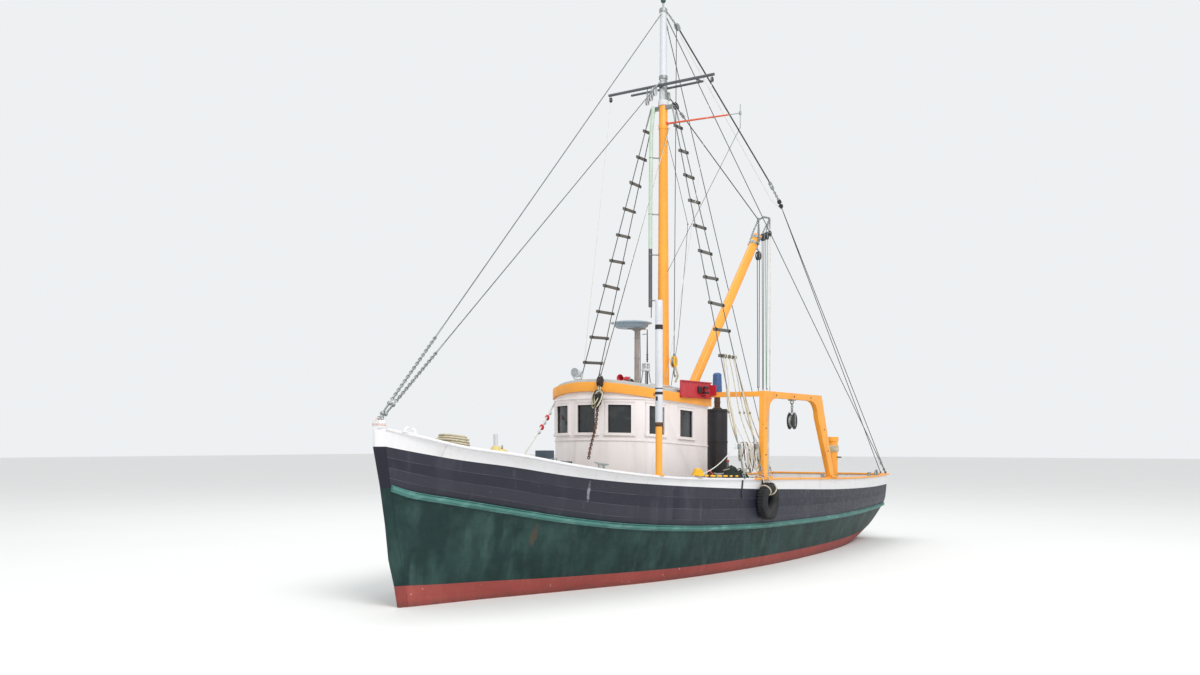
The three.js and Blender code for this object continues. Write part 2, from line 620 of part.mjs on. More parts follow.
// What stands on the roof: a lamp on four legs, a locker and a whip post with its arm.
const ROOF_LAMP = { x: 1300, y: 350, under: 3290 };
function roofLamp() {
  const { x, y, under } = ROOF_LAMP;
  const legs = [[-1, -1], [-1, 1], [1, -1], [1, 1]].map(([i, j]) => bar(
    [x + i * 85, y + j * 60, roofTopAt(x + i * 85, y + j * 60) - 20],
      [x + i * 38, y + j * 30, under + 10], 9, 9, 6));
  return join(...legs, bar([x, y, under], [x, y, under + 40], 74, 74, 16),
    bar([x, y, under + 30], [x, y, under + 118], 57, 57, 16),
      bar([x, y, under + 114], [x, y, under + 140], 62, 46, 16));
}
const LOCKER = { x0: 205, x1: 455, y0: -315, y1: -85, high: 142 };
const lockerFoot = roofTopAt(LOCKER.x0, LOCKER.y1);
const locker = box(LOCKER.x0, LOCKER.x1, LOCKER.y0, LOCKER.y1, lockerFoot - 60, lockerFoot + LOCKER.high);
const WHIP = { x: 850, y: 100, top: 4030 };
const whip = join(
  bar([WHIP.x, WHIP.y, roofTopAt(WHIP.x, WHIP.y) - 20], [WHIP.x, WHIP.y, WHIP.top], 15, 8, 8),
  bar([WHIP.x, WHIP.y, WHIP.top - 80], [WHIP.x + 150, WHIP.y, WHIP.top - 100], 5.5, 5.5, 6));
// The roof's aft edge and the locker are notched round the mast.
const mastNotch = bar([MAST_X, 0, ROOF_UNDER - 400], [MAST_X, 0, ROOF_UNDER + 600],
  MAST_FOOT_RADIUS, MAST_FOOT_RADIUS, 20);
const notchedRoof = cut(join(sloped(join(roof, coaming)), locker), mastNotch);
add('wheelhouse_roof', join(notchedRoof, roofLamp(), whip), ORANGE, 0.6);

// Windows: the middle of each cut, its width, and the way its wall faces.
const WINDOWS = {
  front: [
    { x: at(4200), y: 0, wide: 345, turn: 0 },
    { x: at(4322), y: 552, wide: 372, turn: 0.47 },
    { x: at(4322), y: -552, wide: 372, turn: -0.47 },
  ],
  side: [
    { x: at(4812), y: HOUSE_HALF, wide: 400, turn: Math.PI / 2 },
    { x: at(5715), y: HOUSE_HALF, wide: 430, turn: Math.PI / 2 },
  ],
};
function windowCutter({ x, y, wide, turn }) {
  return new THREE.BoxGeometry(360, wide, WINDOW_HIGH).rotateZ(turn).translate(x, y, WINDOW_Z);
}
function houseWall(blank, cutters) {
  return cut(cut(sloped(cut(blank, ...cutters)), sloped(overRoof)), underMainDeck);
}

const wallLow = 500;
const wallHigh = 3050;
const frontWall = wallFromPlan(arc(-SPLIT_ANGLE, SPLIT_ANGLE, 14, 0),
  arc(-SPLIT_ANGLE, SPLIT_ANGLE, 14, -HOUSE_WALL), wallLow, wallHigh);
add('wheelhouse_front', houseWall(frontWall, WINDOWS.front.map(windowCutter)), WHITE, 0.6);

const sideOuter = [...arc(SPLIT_ANGLE + 0.002, Math.PI / 2, 4, 0), [at(HOUSE_BACK_AFT), HOUSE_HALF]];
const sideInner = [...arc(SPLIT_ANGLE + 0.002, Math.PI / 2, 4, -HOUSE_WALL),
  [at(HOUSE_BACK_AFT), HOUSE_HALF - HOUSE_WALL]];
const sideBlank = wallFromPlan(sideOuter, sideInner, wallLow, wallHigh);
add('wheelhouse_port', houseWall(sideBlank, WINDOWS.side.map(windowCutter)), WHITE, 0.6);
add('wheelhouse_starboard', houseWall(mirrored(sideBlank),
  WINDOWS.side.map((w) => windowCutter({ ...w, y: -w.y }))), WHITE, 0.6);

// The aft wall, with its door on the starboard side.
const DOOR_OUTER = -830;
const DOOR_INNER = -250;
const DOOR_TOP = 2600;
const DOOR_THICK = 40;
const DOOR_SILL = 120;
const houseInside = HOUSE_HALF - HOUSE_WALL - GAP;
const aftX = at(HOUSE_BACK_AFT);
const doorSillZ = mainDeckAt(aftX) + DOOR_SILL;
const aftWall = houseWall(
  box(aftX, aftX + HOUSE_WALL, -houseInside, houseInside, wallLow, wallHigh),
  [box(aftX - 100, aftX + 200, DOOR_OUTER, DOOR_INNER, doorSillZ, DOOR_TOP),
    box(aftX - 100, aftX + 200, 230, 650, 2210, 2600)]);
add('wheelhouse_aft', aftWall, WHITE, 0.6);
// The door hangs on the outer jamb, 0.3 mm clear of it at its hinge, and carries its glass.
const doorLeaf = cut(
  box(aftX + 2, aftX + 2 + DOOR_THICK, DOOR_OUTER + 6, DOOR_INNER - 8, doorSillZ + 8, DOOR_TOP - 70),
  box(aftX - 50, aftX + 100, DOOR_OUTER + 130, DOOR_INNER - 130, 1950, 2350));
const HINGE_X = aftX - 8.3;
const doorHinge = (z) => join(
  bar([HINGE_X, DOOR_OUTER + 2, z - 55], [HINGE_X, DOOR_OUTER + 2, z + 55], 8),
  box(HINGE_X, aftX - GAP, DOOR_OUTER + 2, DOOR_OUTER + 70, z - 45, z + 45),
  box(HINGE_X, aftX + 4, DOOR_OUTER + 12, DOOR_OUTER + 70, z - 45, z + 45));
add('wheelhouse_door', join(doorLeaf, doorHinge(1250), doorHinge(2250)), WHITE, 0.6);

// Sidelight boards on the edges of the roof: red to port, green to starboard.
const BOARD = { fore: 5430, aft: 6440, low: 2845, high: 3125, y: HOUSE_HALF + ROOF_OVERHANG + GAP,
  thick: 28 };
for (const [name, sign, colour] of [['port', 1, 0xb8323f], ['starboard', -1, 0x2f7d4f]]) {
  const screen = box(at(BOARD.aft), at(BOARD.fore), BOARD.y, BOARD.y + BOARD.thick, BOARD.low, BOARD.high);
  const lampX = at(6160);
  const lamp = new THREE.CylinderGeometry(55, 60, 130, 12).rotateX(Math.PI / 2)
    .translate(lampX, BOARD.y + BOARD.thick + 62, 2985);
  const shelf = box(lampX - 75, lampX + 75, BOARD.y + 4, BOARD.y + 130, 2900, 2921);
  const screens = join(screen, lamp, shelf);
  add(`sidelight_board_${name}`, sign > 0 ? screens : mirrored(screens), colour, 0.6);
}

// Radar on its post, searchlight and horn on the roof.
const RADAR = { x: at(5950), y: -150, top: 4065, radius: 350, high: 118, fore: 110, aside: -45 };
const radarFoot = roofTopAt(RADAR.x, RADAR.y);
add('radar_post', cut(join(
  bar([RADAR.x, RADAR.y, radarFoot - 60], [RADAR.x, RADAR.y, RADAR.top], 47, 43, 16),
  box(RADAR.x - 90, RADAR.x + 90, RADAR.y - 90, RADAR.y + 90, radarFoot - 60, radarFoot + 24),
  box(RADAR.x - 120, RADAR.x + 120, RADAR.y - 120, RADAR.y + 120, RADAR.top - 14, RADAR.top)),
    roofSeat), 0xb9b49c, 0.6);
const radomeProfile = [[0, 0], [0.7, 0], [0.82, 0.22], [0.84, 0.55], [1, 0.66], [1, 0.76], [0.84, 0.9],
  [0.6, 1], [0, 1]]
  .map(([r, z]) => new THREE.Vector2(r * RADAR.radius, z * RADAR.high));
add('radome', new THREE.LatheGeometry(radomeProfile, 28).rotateX(Math.PI / 2)
  .translate(RADAR.x + RADAR.fore, RADAR.y + RADAR.aside, RADAR.top + GAP), 0x8fa0ae, 0.5);
const LAMP = { x: at(4530), y: -400, radius: 80, long: 150 };
const lampFoot = roofTopAt(LAMP.x, LAMP.y);
const lampCentre = lampFoot + 205;
add('searchlight', cut(join(
  bar([LAMP.x, LAMP.y, lampFoot - 60], [LAMP.x, LAMP.y, lampCentre - 40], 24, 24, 10),
  bar([LAMP.x, LAMP.y, lampFoot - 60], [LAMP.x, LAMP.y, lampFoot + 24], 70, 60, 14),
  bar([LAMP.x - LAMP.long * 0.45, LAMP.y, lampCentre], [LAMP.x + LAMP.long * 0.55, LAMP.y, lampCentre],
    LAMP.radius * 0.7, LAMP.radius, 18)), roofSeat), WHITE, 0.5);
const HORN = { x: at(4850), y: 300 };
const hornFoot = roofTopAt(HORN.x, HORN.y);
add('horn', cut(join(
  bar([HORN.x, HORN.y, hornFoot - 60], [HORN.x, HORN.y, hornFoot + 90], 20, 20, 10),
  bar([HORN.x - 90, HORN.y, hornFoot + 115], [HORN.x + 130, HORN.y, hornFoot + 115], 30, 62, 16)),
    roofSeat), 0xa8332f, 0.5);

// A hank of mooring rope lies coiled on the foredeck, on its slope.
const COIL = { x: 5900, y: 150, outer: 300, inner: 110, high: 355 };
const coilProfile = [
  [COIL.inner, 20], [COIL.inner + 20, 0], [COIL.outer - 10, 0], [COIL.outer, 40], [COIL.outer - 10, 150],
  [COIL.outer - 35, COIL.high - 110], [COIL.outer - 85, COIL.high - 25], [COIL.outer - 130, COIL.high],
  [COIL.inner + 10, COIL.high - 30], [COIL.inner, 20],
].map(([r, z]) => new THREE.Vector2(r, z));
const coilSlope = Math.atan2(heightAt(STRAKE, COIL.x + 200) - heightAt(STRAKE, COIL.x - 200), 400);
const coilRing = new THREE.LatheGeometry(coilProfile, 20).rotateX(Math.PI / 2).rotateY(-coilSlope)
  .translate(COIL.x, COIL.y, heightAt(STRAKE, COIL.x) + DECK_THICK);
add('rope_coil', cut(coilRing, underForedeck), 0xcdbb97, 0.9);

// Fore hatch on the raised deck, with its hinged lid, and the samson post.
const HATCH = { fore: 2900, aft: 3370, half: 300, top: 1790, lid: 34 };
const hatchTop = HATCH.top;
const foreCoaming = cut(
  box(at(HATCH.aft), at(HATCH.fore), -HATCH.half, HATCH.half, 1200, hatchTop),
  box(at(HATCH.aft - 40), at(HATCH.fore + 40), -HATCH.half + 40, HATCH.half - 40, 1100, hatchTop + 50));
add('fore_hatch', cut(foreCoaming, underForedeck), 0x3a4450, 0.6);
add('fore_hatch_lid', join(
  box(at(HATCH.aft + 15), at(HATCH.fore - 15), -HATCH.half - 15, HATCH.half + 15, hatchTop + GAP,
    hatchTop + HATCH.lid),
  ...[-190, 190].map((y) => bar([at(HATCH.fore - 15), y - 45, hatchTop + 14],
    [at(HATCH.fore - 15), y + 45, hatchTop + 14], 13.7))),
0x3f4a58, 0.55);

// A square ventilator stands abaft it, to starboard.
const VENT = { fore: 3420, aft: 3620, y0: -420, y1: -200, top: 1985 };
add('fore_vent', cut(box(at(VENT.aft), at(VENT.fore), VENT.y0, VENT.y1, 1200, VENT.top), underForedeck),
  0x2b3048, 0.6);

const POST = { x: at(1950), half: 82, shoulder: 1990, crown: 2055, top: 2225, head: 33, pin: 1885 };
add('samson_post', cut(join(
  box(POST.x - POST.half, POST.x + POST.half, -POST.half, POST.half, 1400, POST.shoulder),
  bar([POST.x, 0, POST.shoulder - 10], [POST.x, 0, POST.crown], 92, 55, 16),
  bar([POST.x, 0, POST.crown - 20], [POST.x, 0, POST.top], POST.head, POST.head, 14),
  bar([POST.x, -210, POST.pin], [POST.x, 210, POST.pin], 20, 20, 10)), underForedeck), 0xd9b24a, 0.7);

// Mast, topmast and yard.
const mastBody = cut(
  bar([MAST_X, 0, MAST_FOOT_Z], [MAST_X, 0, MAST_TOP], MAST_FOOT_RADIUS, MAST_HEAD_RADIUS, 20),
    underMainDeck);
// The mast's radius at a height; a band stands a little proud of it.
const mastRadiusAt = (z) => MAST_FOOT_RADIUS
  + (MAST_HEAD_RADIUS - MAST_FOOT_RADIUS) * (z - MAST_FOOT_Z) / (MAST_TOP - MAST_FOOT_Z);
const mastBand = (z) => bar([MAST_X, 0, z - 40], [MAST_X, 0, z + 40], mastRadiusAt(z) + 9,
  mastRadiusAt(z) + 9, 20);
const GOOSENECK = { x: MAST_X - 190, z: 2200 };
// A pale conduit comes down beside the mast, and a wireless aerial stands out to port on its arm.
const CONDUIT = [[315, -165, 4480], [315, -165, 6200], [290, -160, 7550], [255, -140, 8000]];
const conduit = CONDUIT.slice(1).map((p, i) => bar(CONDUIT[i], p, 34));
const clamps = [4600, 5400, 6110, 7100].map((z) => bar([MAST_X, 0, z], [312, -163, z], 13, 13, 8));
const ARM = { root: [MAST_X, 20, 7700], middle: [125, 1270, 7666], tip: [120, 1490, 7660] };
const aerial = [
  bar(ARM.root, ARM.middle, 18, 14), bar(ARM.middle, ARM.tip, 7, 7, 8),
  bar([ARM.tip[0], ARM.tip[1], 7410], [ARM.tip[0], ARM.tip[1], 7870], 6.5, 6.5, 8)];
// Crosstrees at its head carry the shrouds.
const CROSSTREE = { half: 200, wide: 45, low: 7955, high: 8012 };
const crosstree = box(MAST_X - CROSSTREE.wide, MAST_X + CROSSTREE.wide, -CROSSTREE.half, CROSSTREE.half,
  CROSSTREE.low, CROSSTREE.high);
add('mast', join(mastBody, ...conduit, ...clamps, ...aerial, crosstree,
  mastBand(7650), mastBand(GOOSENECK.z - 60),
  box(GOOSENECK.x - 45, MAST_X - 60, -40, 40, GOOSENECK.z - 90, GOOSENECK.z - 30)), ORANGE, 0.55);
// Two pipes are clamped before and behind the topmast as its yard. The boom's lift hangs from an arm just
// below them, and a band above them takes the inner forestay.
const YARD = { z: 8355, off: 112, seat: 80, linkY: 700 };
const YARD_PIPES = [
  // which way from the mast, half the length, radius
  [1, 1070, 26], [-1, 735, 21],
];
const BLOCK_Z = 8290;
const STAY_BAND_Z = 8515;
const STAY_BAND = 78;
add('topmast', join(
  bar([MAST_X, 0, MAST_TOP + GAP], [MAST_X, 0, TOPMAST_TOP], 70, 58, 16),
  bar([MAST_X, 0, MAST_TOP + GAP], [MAST_X, 0, MAST_TOP + 90], 92, 92, 20),
  bar([MAST_X, 0, STAY_BAND_Z - 30], [MAST_X, 0, STAY_BAND_Z + 30], STAY_BAND, STAY_BAND, 20),
  bar([MAST_X, 0, TOPMAST_TOP - 75], [MAST_X, 0, TOPMAST_TOP - 15], 72, 72, 16),
  box(MAST_X - YARD.seat, MAST_X + YARD.seat, -38, 38, YARD.z - 40, YARD.z + 40),
  box(GOOSENECK.x - 25, MAST_X - 50, -14, 14, BLOCK_Z - 14, BLOCK_Z + 14),
  bar([MAST_X, 0, TOPMAST_TOP - 10], [MAST_X, 0, TOPMAST_TOP + 110], 15, 15, 10),
  new THREE.SphereGeometry(46, 12, 8).rotateX(Math.PI / 2).translate(MAST_X, 0, TOPMAST_TOP + 135)),
    0xd8dad6, 0.6);
const yardPipes = YARD_PIPES.flatMap(([way, half, radius]) => {
  const x = MAST_X + way * YARD.off;
  const face = MAST_X + way * (YARD.seat + GAP);
  return [bar([x, -half, YARD.z], [x, half, YARD.z], radius, radius, 10),
    box(Math.min(x, face), Math.max(x, face), -34, 34, YARD.z - 20, YARD.z + 20)];
});
const yardLink = box(MAST_X - YARD.off, MAST_X + YARD.off, YARD.linkY - 12, YARD.linkY + 12,
  YARD.z - 14, YARD.z + 14);
add('yard', join(...yardPipes, yardLink), 0xc9ccc8, 0.6);

// The boom stands on its gooseneck behind the mast. Its lift hangs from a block on the same upright axis,
// so boom and lift swing together.
const BOOM_YAW = 10.8 * Math.PI / 180;
const BOOM = { reach: 2580, tipZ: 6100, radius: 88 };
const boomPoint = (reach, z) => [
  GOOSENECK.x - reach * Math.cos(BOOM_YAW), reach * Math.sin(BOOM_YAW), z];
const boomFoot = boomPoint(70, GOOSENECK.z + 60);
const boomTip = boomPoint(BOOM.reach, BOOM.tipZ);
add('boom', join(
  bar(boomFoot, boomTip, BOOM.radius, BOOM.radius * 0.97, 16),
  bar([GOOSENECK.x, 0, GOOSENECK.z - 30 + GAP], [GOOSENECK.x, 0, GOOSENECK.z + 150], 38, 38, 14),
  bar(boomPoint(0, GOOSENECK.z + 60), boomPoint(110, GOOSENECK.z + 110), 30, 30, 10)), ORANGE, 0.55);
// The lift's wire comes down to a link above the boom's head, and from there to an eye on its end.
const liftTop = [GOOSENECK.x, 0, BLOCK_Z - 14 - GAP];
const liftLink = boomPoint(BOOM.reach + 40, BOOM.tipZ + 320);
const boomWay = new THREE.Vector3(...boomTip).sub(new THREE.Vector3(...boomFoot)).normalize();
const beyondTip = (far) => new THREE.Vector3(...boomTip).addScaledVector(boomWay, far).toArray();
add('topping_lift', join(
  bar([GOOSENECK.x, 0, BLOCK_Z - 60], liftLink, 9, 9, 8),
  bar(liftLink, beyondTip(50), 10, 10, 8),
  bar(beyondTip(60), beyondTip(GAP), 18, 18, 10),
  bar([GOOSENECK.x, 0, BLOCK_Z - 130], liftTop, 34, 34, 12)), WIRE, 0.7);

// The main stays. Each ends against the band of the mast that it is made fast to, and on what it holds.
const TRUCK_Z = TOPMAST_TOP - 45;
const TRUCK_RADIUS = 72;
const STAY_RADIUS = 8;
// A wire from the mast's axis down to a place, cut short at both ends so that its end faces only just clear
// the band and the flat below it.
function wireDown(top, foot, band, radius, sides) {
  const a = new THREE.Vector3(...top);
  const b = new THREE.Vector3(...foot);
  const way = b.clone().sub(a);
  const flat = Math.hypot(way.x, way.y);
  const steep = -way.z / way.length();
  const level = flat / way.length();
  const start = a.clone().addScaledVector(way, (band + GAP + radius * steep) / flat);
  const end = b.clone().addScaledVector(way, (GAP + radius * level) / way.z);
  return bar(start.toArray(), end.toArray(), radius, radius, sides);
}
const forestay = wireDown([MAST_X, 0, TRUCK_Z], [at(-370), 0, STEMHEAD_Z], TRUCK_RADIUS, STAY_RADIUS, 8);
const houndsStay = wireDown([MAST_X, 0, STAY_BAND_Z], [at(-320), 0, STEMHEAD_Z], STAY_BAND, STAY_RADIUS, 8);
add('forestay', forestay, WIRE, 0.6, 0.4);
add('hounds_stay', houndsStay, WIRE, 0.6, 0.4);
const BACKSTAY = { x: at(13880), y: 1400 };
const backstay = wireDown([MAST_X, 0, TRUCK_Z], [BACKSTAY.x, BACKSTAY.y, heightAt(RAIL, BACKSTAY.x)],
  TRUCK_RADIUS, STAY_RADIUS, 8);
add('backstay_port', backstay, WIRE, 0.6, 0.4);
add('backstay_starboard', mirrored(backstay), WIRE, 0.6, 0.4);

// Shrouds with rungs seized across them.
const SHROUD = { foreAft: 5980, aftAft: 6660, y: 1885, radius: 9, rungs: 10, first: 3550, pitch: 450 };
// A white board is lashed across the foot of each pair.
const SHEER_BOARD = { x0: -420, x1: 780, y: 1738, z0: 2000, z1: 2100 };
function shroudLadder() {
  const headY = CROSSTREE.half + 12 + GAP;
  const pair = [[SHROUD.foreAft, 62, 45], [SHROUD.aftAft, -62, -45]].map(([aft, shift, past]) => {
    const foot = new THREE.Vector3(at(aft), SHROUD.y, heightAt(RAIL, at(aft)) + SHROUD.radius);
    return { foot, head: new THREE.Vector3(MAST_X + shift, headY, HOUNDS_Z), past };
  });
  const pieces = pair.map(({ foot, head }) => bar(foot.toArray(), head.toArray(), SHROUD.radius,
    SHROUD.radius, 6));
  for (let i = 0; i < SHROUD.rungs; i++) {
    const z = SHROUD.first + SHROUD.pitch * i;
    const ends = pair.map(({ foot, head, past }) => {
      const p = foot.clone().lerp(head, (z - foot.z) / (head.z - foot.z));
      return [p.x + past, p.y, p.z];
    });
    pieces.push(squareBar(ends[0], ends[1], 24, 42));
  }
  pieces.push(bar([MAST_X - 75, headY, HOUNDS_Z], [MAST_X + 75, headY, HOUNDS_Z], 12, 12, 8));
  pieces.push(box(SHEER_BOARD.x0, SHEER_BOARD.x1, SHEER_BOARD.y - 14, SHEER_BOARD.y + 14,
    SHEER_BOARD.z0, SHEER_BOARD.z1));
  return join(...pieces);
}
const ladder = shroudLadder();
add('shroud_ladder_port', ladder, WIRE, 0.7);
add('shroud_ladder_starboard', mirrored(ladder), WIRE, 0.7);

// Exhaust: a round casing behind the winch, its pipe and the cap over it.
const STACK = { x: at(8170), y: 220, casing: 190, casingTop: 2730, pipeTop: 3350 };
add('exhaust_casing', cut(bar([STACK.x, STACK.y, 500], [STACK.x, STACK.y, STACK.casingTop],
  STACK.casing, STACK.casing, 24),
  underMainDeck), 0x2c2c30, 0.6);
add('exhaust_pipe', bar([STACK.x, STACK.y, STACK.casingTop + GAP], [STACK.x, STACK.y, STACK.pipeTop],
  56, 56, 16), 0x4a332a, 0.8);
const capProfile = [[0, 0], [80, 0], [92, -320], [84, -320], [73, -12], [0, -12]].map(([r, z]) =>
  new THREE.Vector2(r, z));
add('stack_cap', new THREE.LatheGeometry(capProfile.reverse(), 20).rotateX(Math.PI / 2)
  .translate(STACK.x, STACK.y, STACK.pipeTop + 12 + GAP), 0x4d6a9a, 0.5);

// Gallows on each rail, with the strut that ties it to the wheelhouse roof.
const GALLOWS = { fore: 6850, foreTop: 6870, aft: 9780, aftTop: 9150, y: 1800, top: 2980, wide: 160,
  thick: 90 };
function gallows() {
  const half = GALLOWS.wide / 2;
  const f0 = at(GALLOWS.fore);
  const f1 = at(GALLOWS.foreTop);
  const a0 = at(GALLOWS.aft);
  const a1 = at(GALLOWS.aftTop);
  const top = GALLOWS.top;
  const zf = heightAt(RAIL, f0) - 60;
  const za = heightAt(RAIL, a0) - 60;
  const outline = new THREE.Shape();
  outline.moveTo(f0 + half, zf);
  outline.lineTo(f1 + half, top);
  outline.lineTo(a1 - half, top);
  outline.lineTo(a0 - half, za);
  outline.lineTo(a0 + half, za);
  outline.lineTo(a1 + half, top - 420);
  outline.quadraticCurveTo(a1 + half + 30, top - 130, a1 + half + 330, top - 110);
  outline.lineTo(f1 - half - 330, top - 110);
  outline.quadraticCurveTo(f1 - half - 30, top - 130, f1 - half, top - 420);
  outline.lineTo(f0 - half, zf);
  const frame = new THREE.ExtrudeGeometry(outline,
    { depth: GALLOWS.thick, bevelEnabled: false, curveSegments: 4 })
    .rotateX(Math.PI / 2)
    .translate(0, GALLOWS.y + GALLOWS.thick / 2, 0);
  const tieEnd = [270, HOUSE_HALF - 20, top - 63];
  const tie = squareBar([f1 + half - 60, GALLOWS.y, top - 50], tieEnd, 76, 84);
  const feet = [f0, a0].map((x) => box(x - 170, x + 170, GALLOWS.y - 75, GALLOWS.y + 85,
    heightAt(RAIL, x) - 80, heightAt(RAIL, x) + 26));
  return join(frame, tie, ...feet);
}
const portGallows = cut(gallows(), underCap(), roofSeat);
add('gallows_port', portGallows, ORANGE, 0.55);
add('gallows_starboard', mirrored(portGallows), ORANGE, 0.55);

// Towing posts inside the bulwarks.
for (const [name, sign] of [['port', 1], ['starboard', -1]]) {
  const x = at(10570);
  add(`towing_post_${name}`, cut(join(
    bar([x, sign * 1500, 500], [x, sign * 1500, 2140], 105, 105, 18),
    bar([x, sign * 1500, 2130], [x, sign * 1500, 2220], 122, 122, 18)), underMainDeck), ORANGE, 0.6);
}

// The trawl winch: two drums on one shaft between three cheeks.
const WINCH = { x: at(7640), z: 1330, half: 860, drum: 215, core: 90 };
const winchDeck = mainDeckAt(WINCH.x);
const cheek = (y) => box(WINCH.x - 150, WINCH.x + 150, y - 22, y + 22, winchDeck - 60, WINCH.z + 130);
const winchBase = box(WINCH.x - 260, WINCH.x + 260, -WINCH.half, WINCH.half, winchDeck - 60, winchDeck + 60);
const SHAFT_RADIUS = 34;
const shaftBore = bar([WINCH.x, -1200, WINCH.z], [WINCH.x, 1200, WINCH.z], SHAFT_RADIUS + 0.65,
  SHAFT_RADIUS + 0.65, 24);
add('winch_frame', cut(cut(join(winchBase, cheek(-WINCH.half + 22), cheek(0), cheek(WINCH.half - 22)),
  underMainDeck), shaftBore),
  0x5d6a66, 0.6, 0.3);
const flange = (y) => bar([WINCH.x, y - 12, WINCH.z], [WINCH.x, y + 12, WINCH.z], WINCH.drum, WINCH.drum, 24);
const drumSpan = (a, b) => [flange(a), flange(b), bar([WINCH.x, a, WINCH.z], [WINCH.x, b, WINCH.z],
  WINCH.core + 70, WINCH.core + 70, 20)];
add('winch_drums', join(
  bar([WINCH.x, -WINCH.half - 150, WINCH.z], [WINCH.x, WINCH.half + 150, WINCH.z], SHAFT_RADIUS,
    SHAFT_RADIUS, 24),
  ...drumSpan(-WINCH.half + 90, -70), ...drumSpan(70, WINCH.half - 90)), 0x6b5a4a, 0.7, 0.3);

// Fish hold: coaming and hinged cover.
const HOLD = { fore: 9900, aft: 11000, half: 600, high: 320, wall: 45 };
const holdTop = mainDeckAt(at(HOLD.fore)) + HOLD.high;
add('hold_hatch', cut(box(at(HOLD.aft), at(HOLD.fore), -HOLD.half, HOLD.half, 500, holdTop),
  box(at(HOLD.aft - HOLD.wall), at(HOLD.fore + HOLD.wall), -HOLD.half + HOLD.wall,
    HOLD.half - HOLD.wall, 400, holdTop + 50),
  underMainDeck), WOOD, 0.8);
add('hold_hatch_cover', join(
  box(at(HOLD.aft + 20), at(HOLD.fore - 20), -HOLD.half - 20, HOLD.half + 20, holdTop + GAP, holdTop + 60),
  ...[-380, 380].map((y) => bar([at(HOLD.fore - 20), y - 60, holdTop + 18],
    [at(HOLD.fore - 20), y + 60, holdTop + 18], 17.7))),
0x7d8a80, 0.8);

// Rudder and propeller in the aperture behind the sternpost.
const SHAFT_Z = -1010;
const PROP_X = at(STERNPOST_AFT + 190);
const PROP_RADIUS = 345;
const hub = bar([PROP_X + 150, 0, SHAFT_Z], [PROP_X - 110, 0, SHAFT_Z], 62, 45, 16);
const shaftStub = bar([PROP_X + 100, 0, SHAFT_Z], [at(STERNPOST_AFT) - GAP, 0, SHAFT_Z], 40, 40, 14);
function blade(turn) {
  const shape = new THREE.Shape();
  shape.moveTo(-60, 30);
  shape.quadraticCurveTo(-150, 190, -85, PROP_RADIUS - 20);
  shape.quadraticCurveTo(0, PROP_RADIUS + 12, 85, PROP_RADIUS - 20);
  shape.quadraticCurveTo(150, 190, 60, 30);
  return new THREE.ExtrudeGeometry(shape, { depth: 16, bevelEnabled: false, curveSegments: 5 })
    .translate(0, 0, -8)
    .rotateY(0.6)
    .rotateX(Math.PI / 2)
    .rotateZ(-Math.PI / 2)
    .rotateX(turn)
    .translate(PROP_X, 0, SHAFT_Z);
}
add('propeller', join(hub, shaftStub, blade(0), blade(2 * Math.PI / 3), blade(4 * Math.PI / 3)),
  0xa58a4c, 0.4, 0.8);

const RUDDER = { stock: 13020, trailing: 13640, top: -560, bottom: KEEL_BOTTOM_AFT + SHOE_THICK + 30,
  thick: 60 };
const stockX = at(RUDDER.stock);
const rudderOutline = [
  [stockX + 60, RUDDER.bottom], [stockX + 60, RUDDER.top], [at(RUDDER.trailing) + 60, RUDDER.top + 30],
  [at(RUDDER.trailing), RUDDER.top - 120], [at(RUDDER.trailing), RUDDER.bottom + 120],
    [at(RUDDER.trailing) + 90, RUDDER.bottom],
];
const stockTop = heightAt(RABBET, stockX + 40) - 8;
add('rudder', join(
  plateXZ(rudderOutline, 0, RUDDER.thick),
  bar([stockX, 0, KEEL_BOTTOM_AFT + SHOE_THICK + GAP], [stockX, 0, stockTop], 42, 42, 16)), RED, 0.75);

// A tyre hung over the port side as a fender.
const TYRE = { x: at(6720), y: 1955.5, z: 1130, ring: 215, fat: 88 };
add('tyre_fender', new THREE.TorusGeometry(TYRE.ring, TYRE.fat, 8, 22).rotateX(Math.PI / 2)
  .translate(TYRE.x, TYRE.y, TYRE.z), 0x26262a, 0.9);

export default group;
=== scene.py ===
"""Looks for a small wooden dragger afloat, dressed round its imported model.

Metres, +X the bow, +Y port, +Z up."""
import bmesh
import bpy
import json
import random
from math import atan2, copysign, cos, hypot, pi, radians, sin, sqrt
from mathutils import Matrix, Vector


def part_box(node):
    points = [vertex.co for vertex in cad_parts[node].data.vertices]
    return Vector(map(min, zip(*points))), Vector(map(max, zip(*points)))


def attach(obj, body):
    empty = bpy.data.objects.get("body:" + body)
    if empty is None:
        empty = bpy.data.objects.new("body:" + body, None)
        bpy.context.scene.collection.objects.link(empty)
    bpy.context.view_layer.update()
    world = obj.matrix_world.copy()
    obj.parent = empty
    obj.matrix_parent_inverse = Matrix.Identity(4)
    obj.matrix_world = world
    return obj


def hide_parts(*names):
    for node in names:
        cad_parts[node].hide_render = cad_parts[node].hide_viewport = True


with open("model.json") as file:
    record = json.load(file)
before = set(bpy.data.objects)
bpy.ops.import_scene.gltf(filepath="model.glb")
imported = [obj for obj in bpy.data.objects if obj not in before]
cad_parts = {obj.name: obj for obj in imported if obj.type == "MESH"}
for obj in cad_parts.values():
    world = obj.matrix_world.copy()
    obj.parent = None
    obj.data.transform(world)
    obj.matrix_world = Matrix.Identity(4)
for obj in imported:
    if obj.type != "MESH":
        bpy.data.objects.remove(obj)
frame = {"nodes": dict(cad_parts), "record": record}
SIDES = (("port", 1), ("starboard", -1))
ALONG, ACROSS, UP, DOWN = (1, 0, 0), (0, 1, 0), (0, 0, 1), (0, 0, -1)
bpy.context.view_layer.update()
random.seed(7)
scene = bpy.context.scene


def vec(x, y, z):
    return Vector((x, y, z))


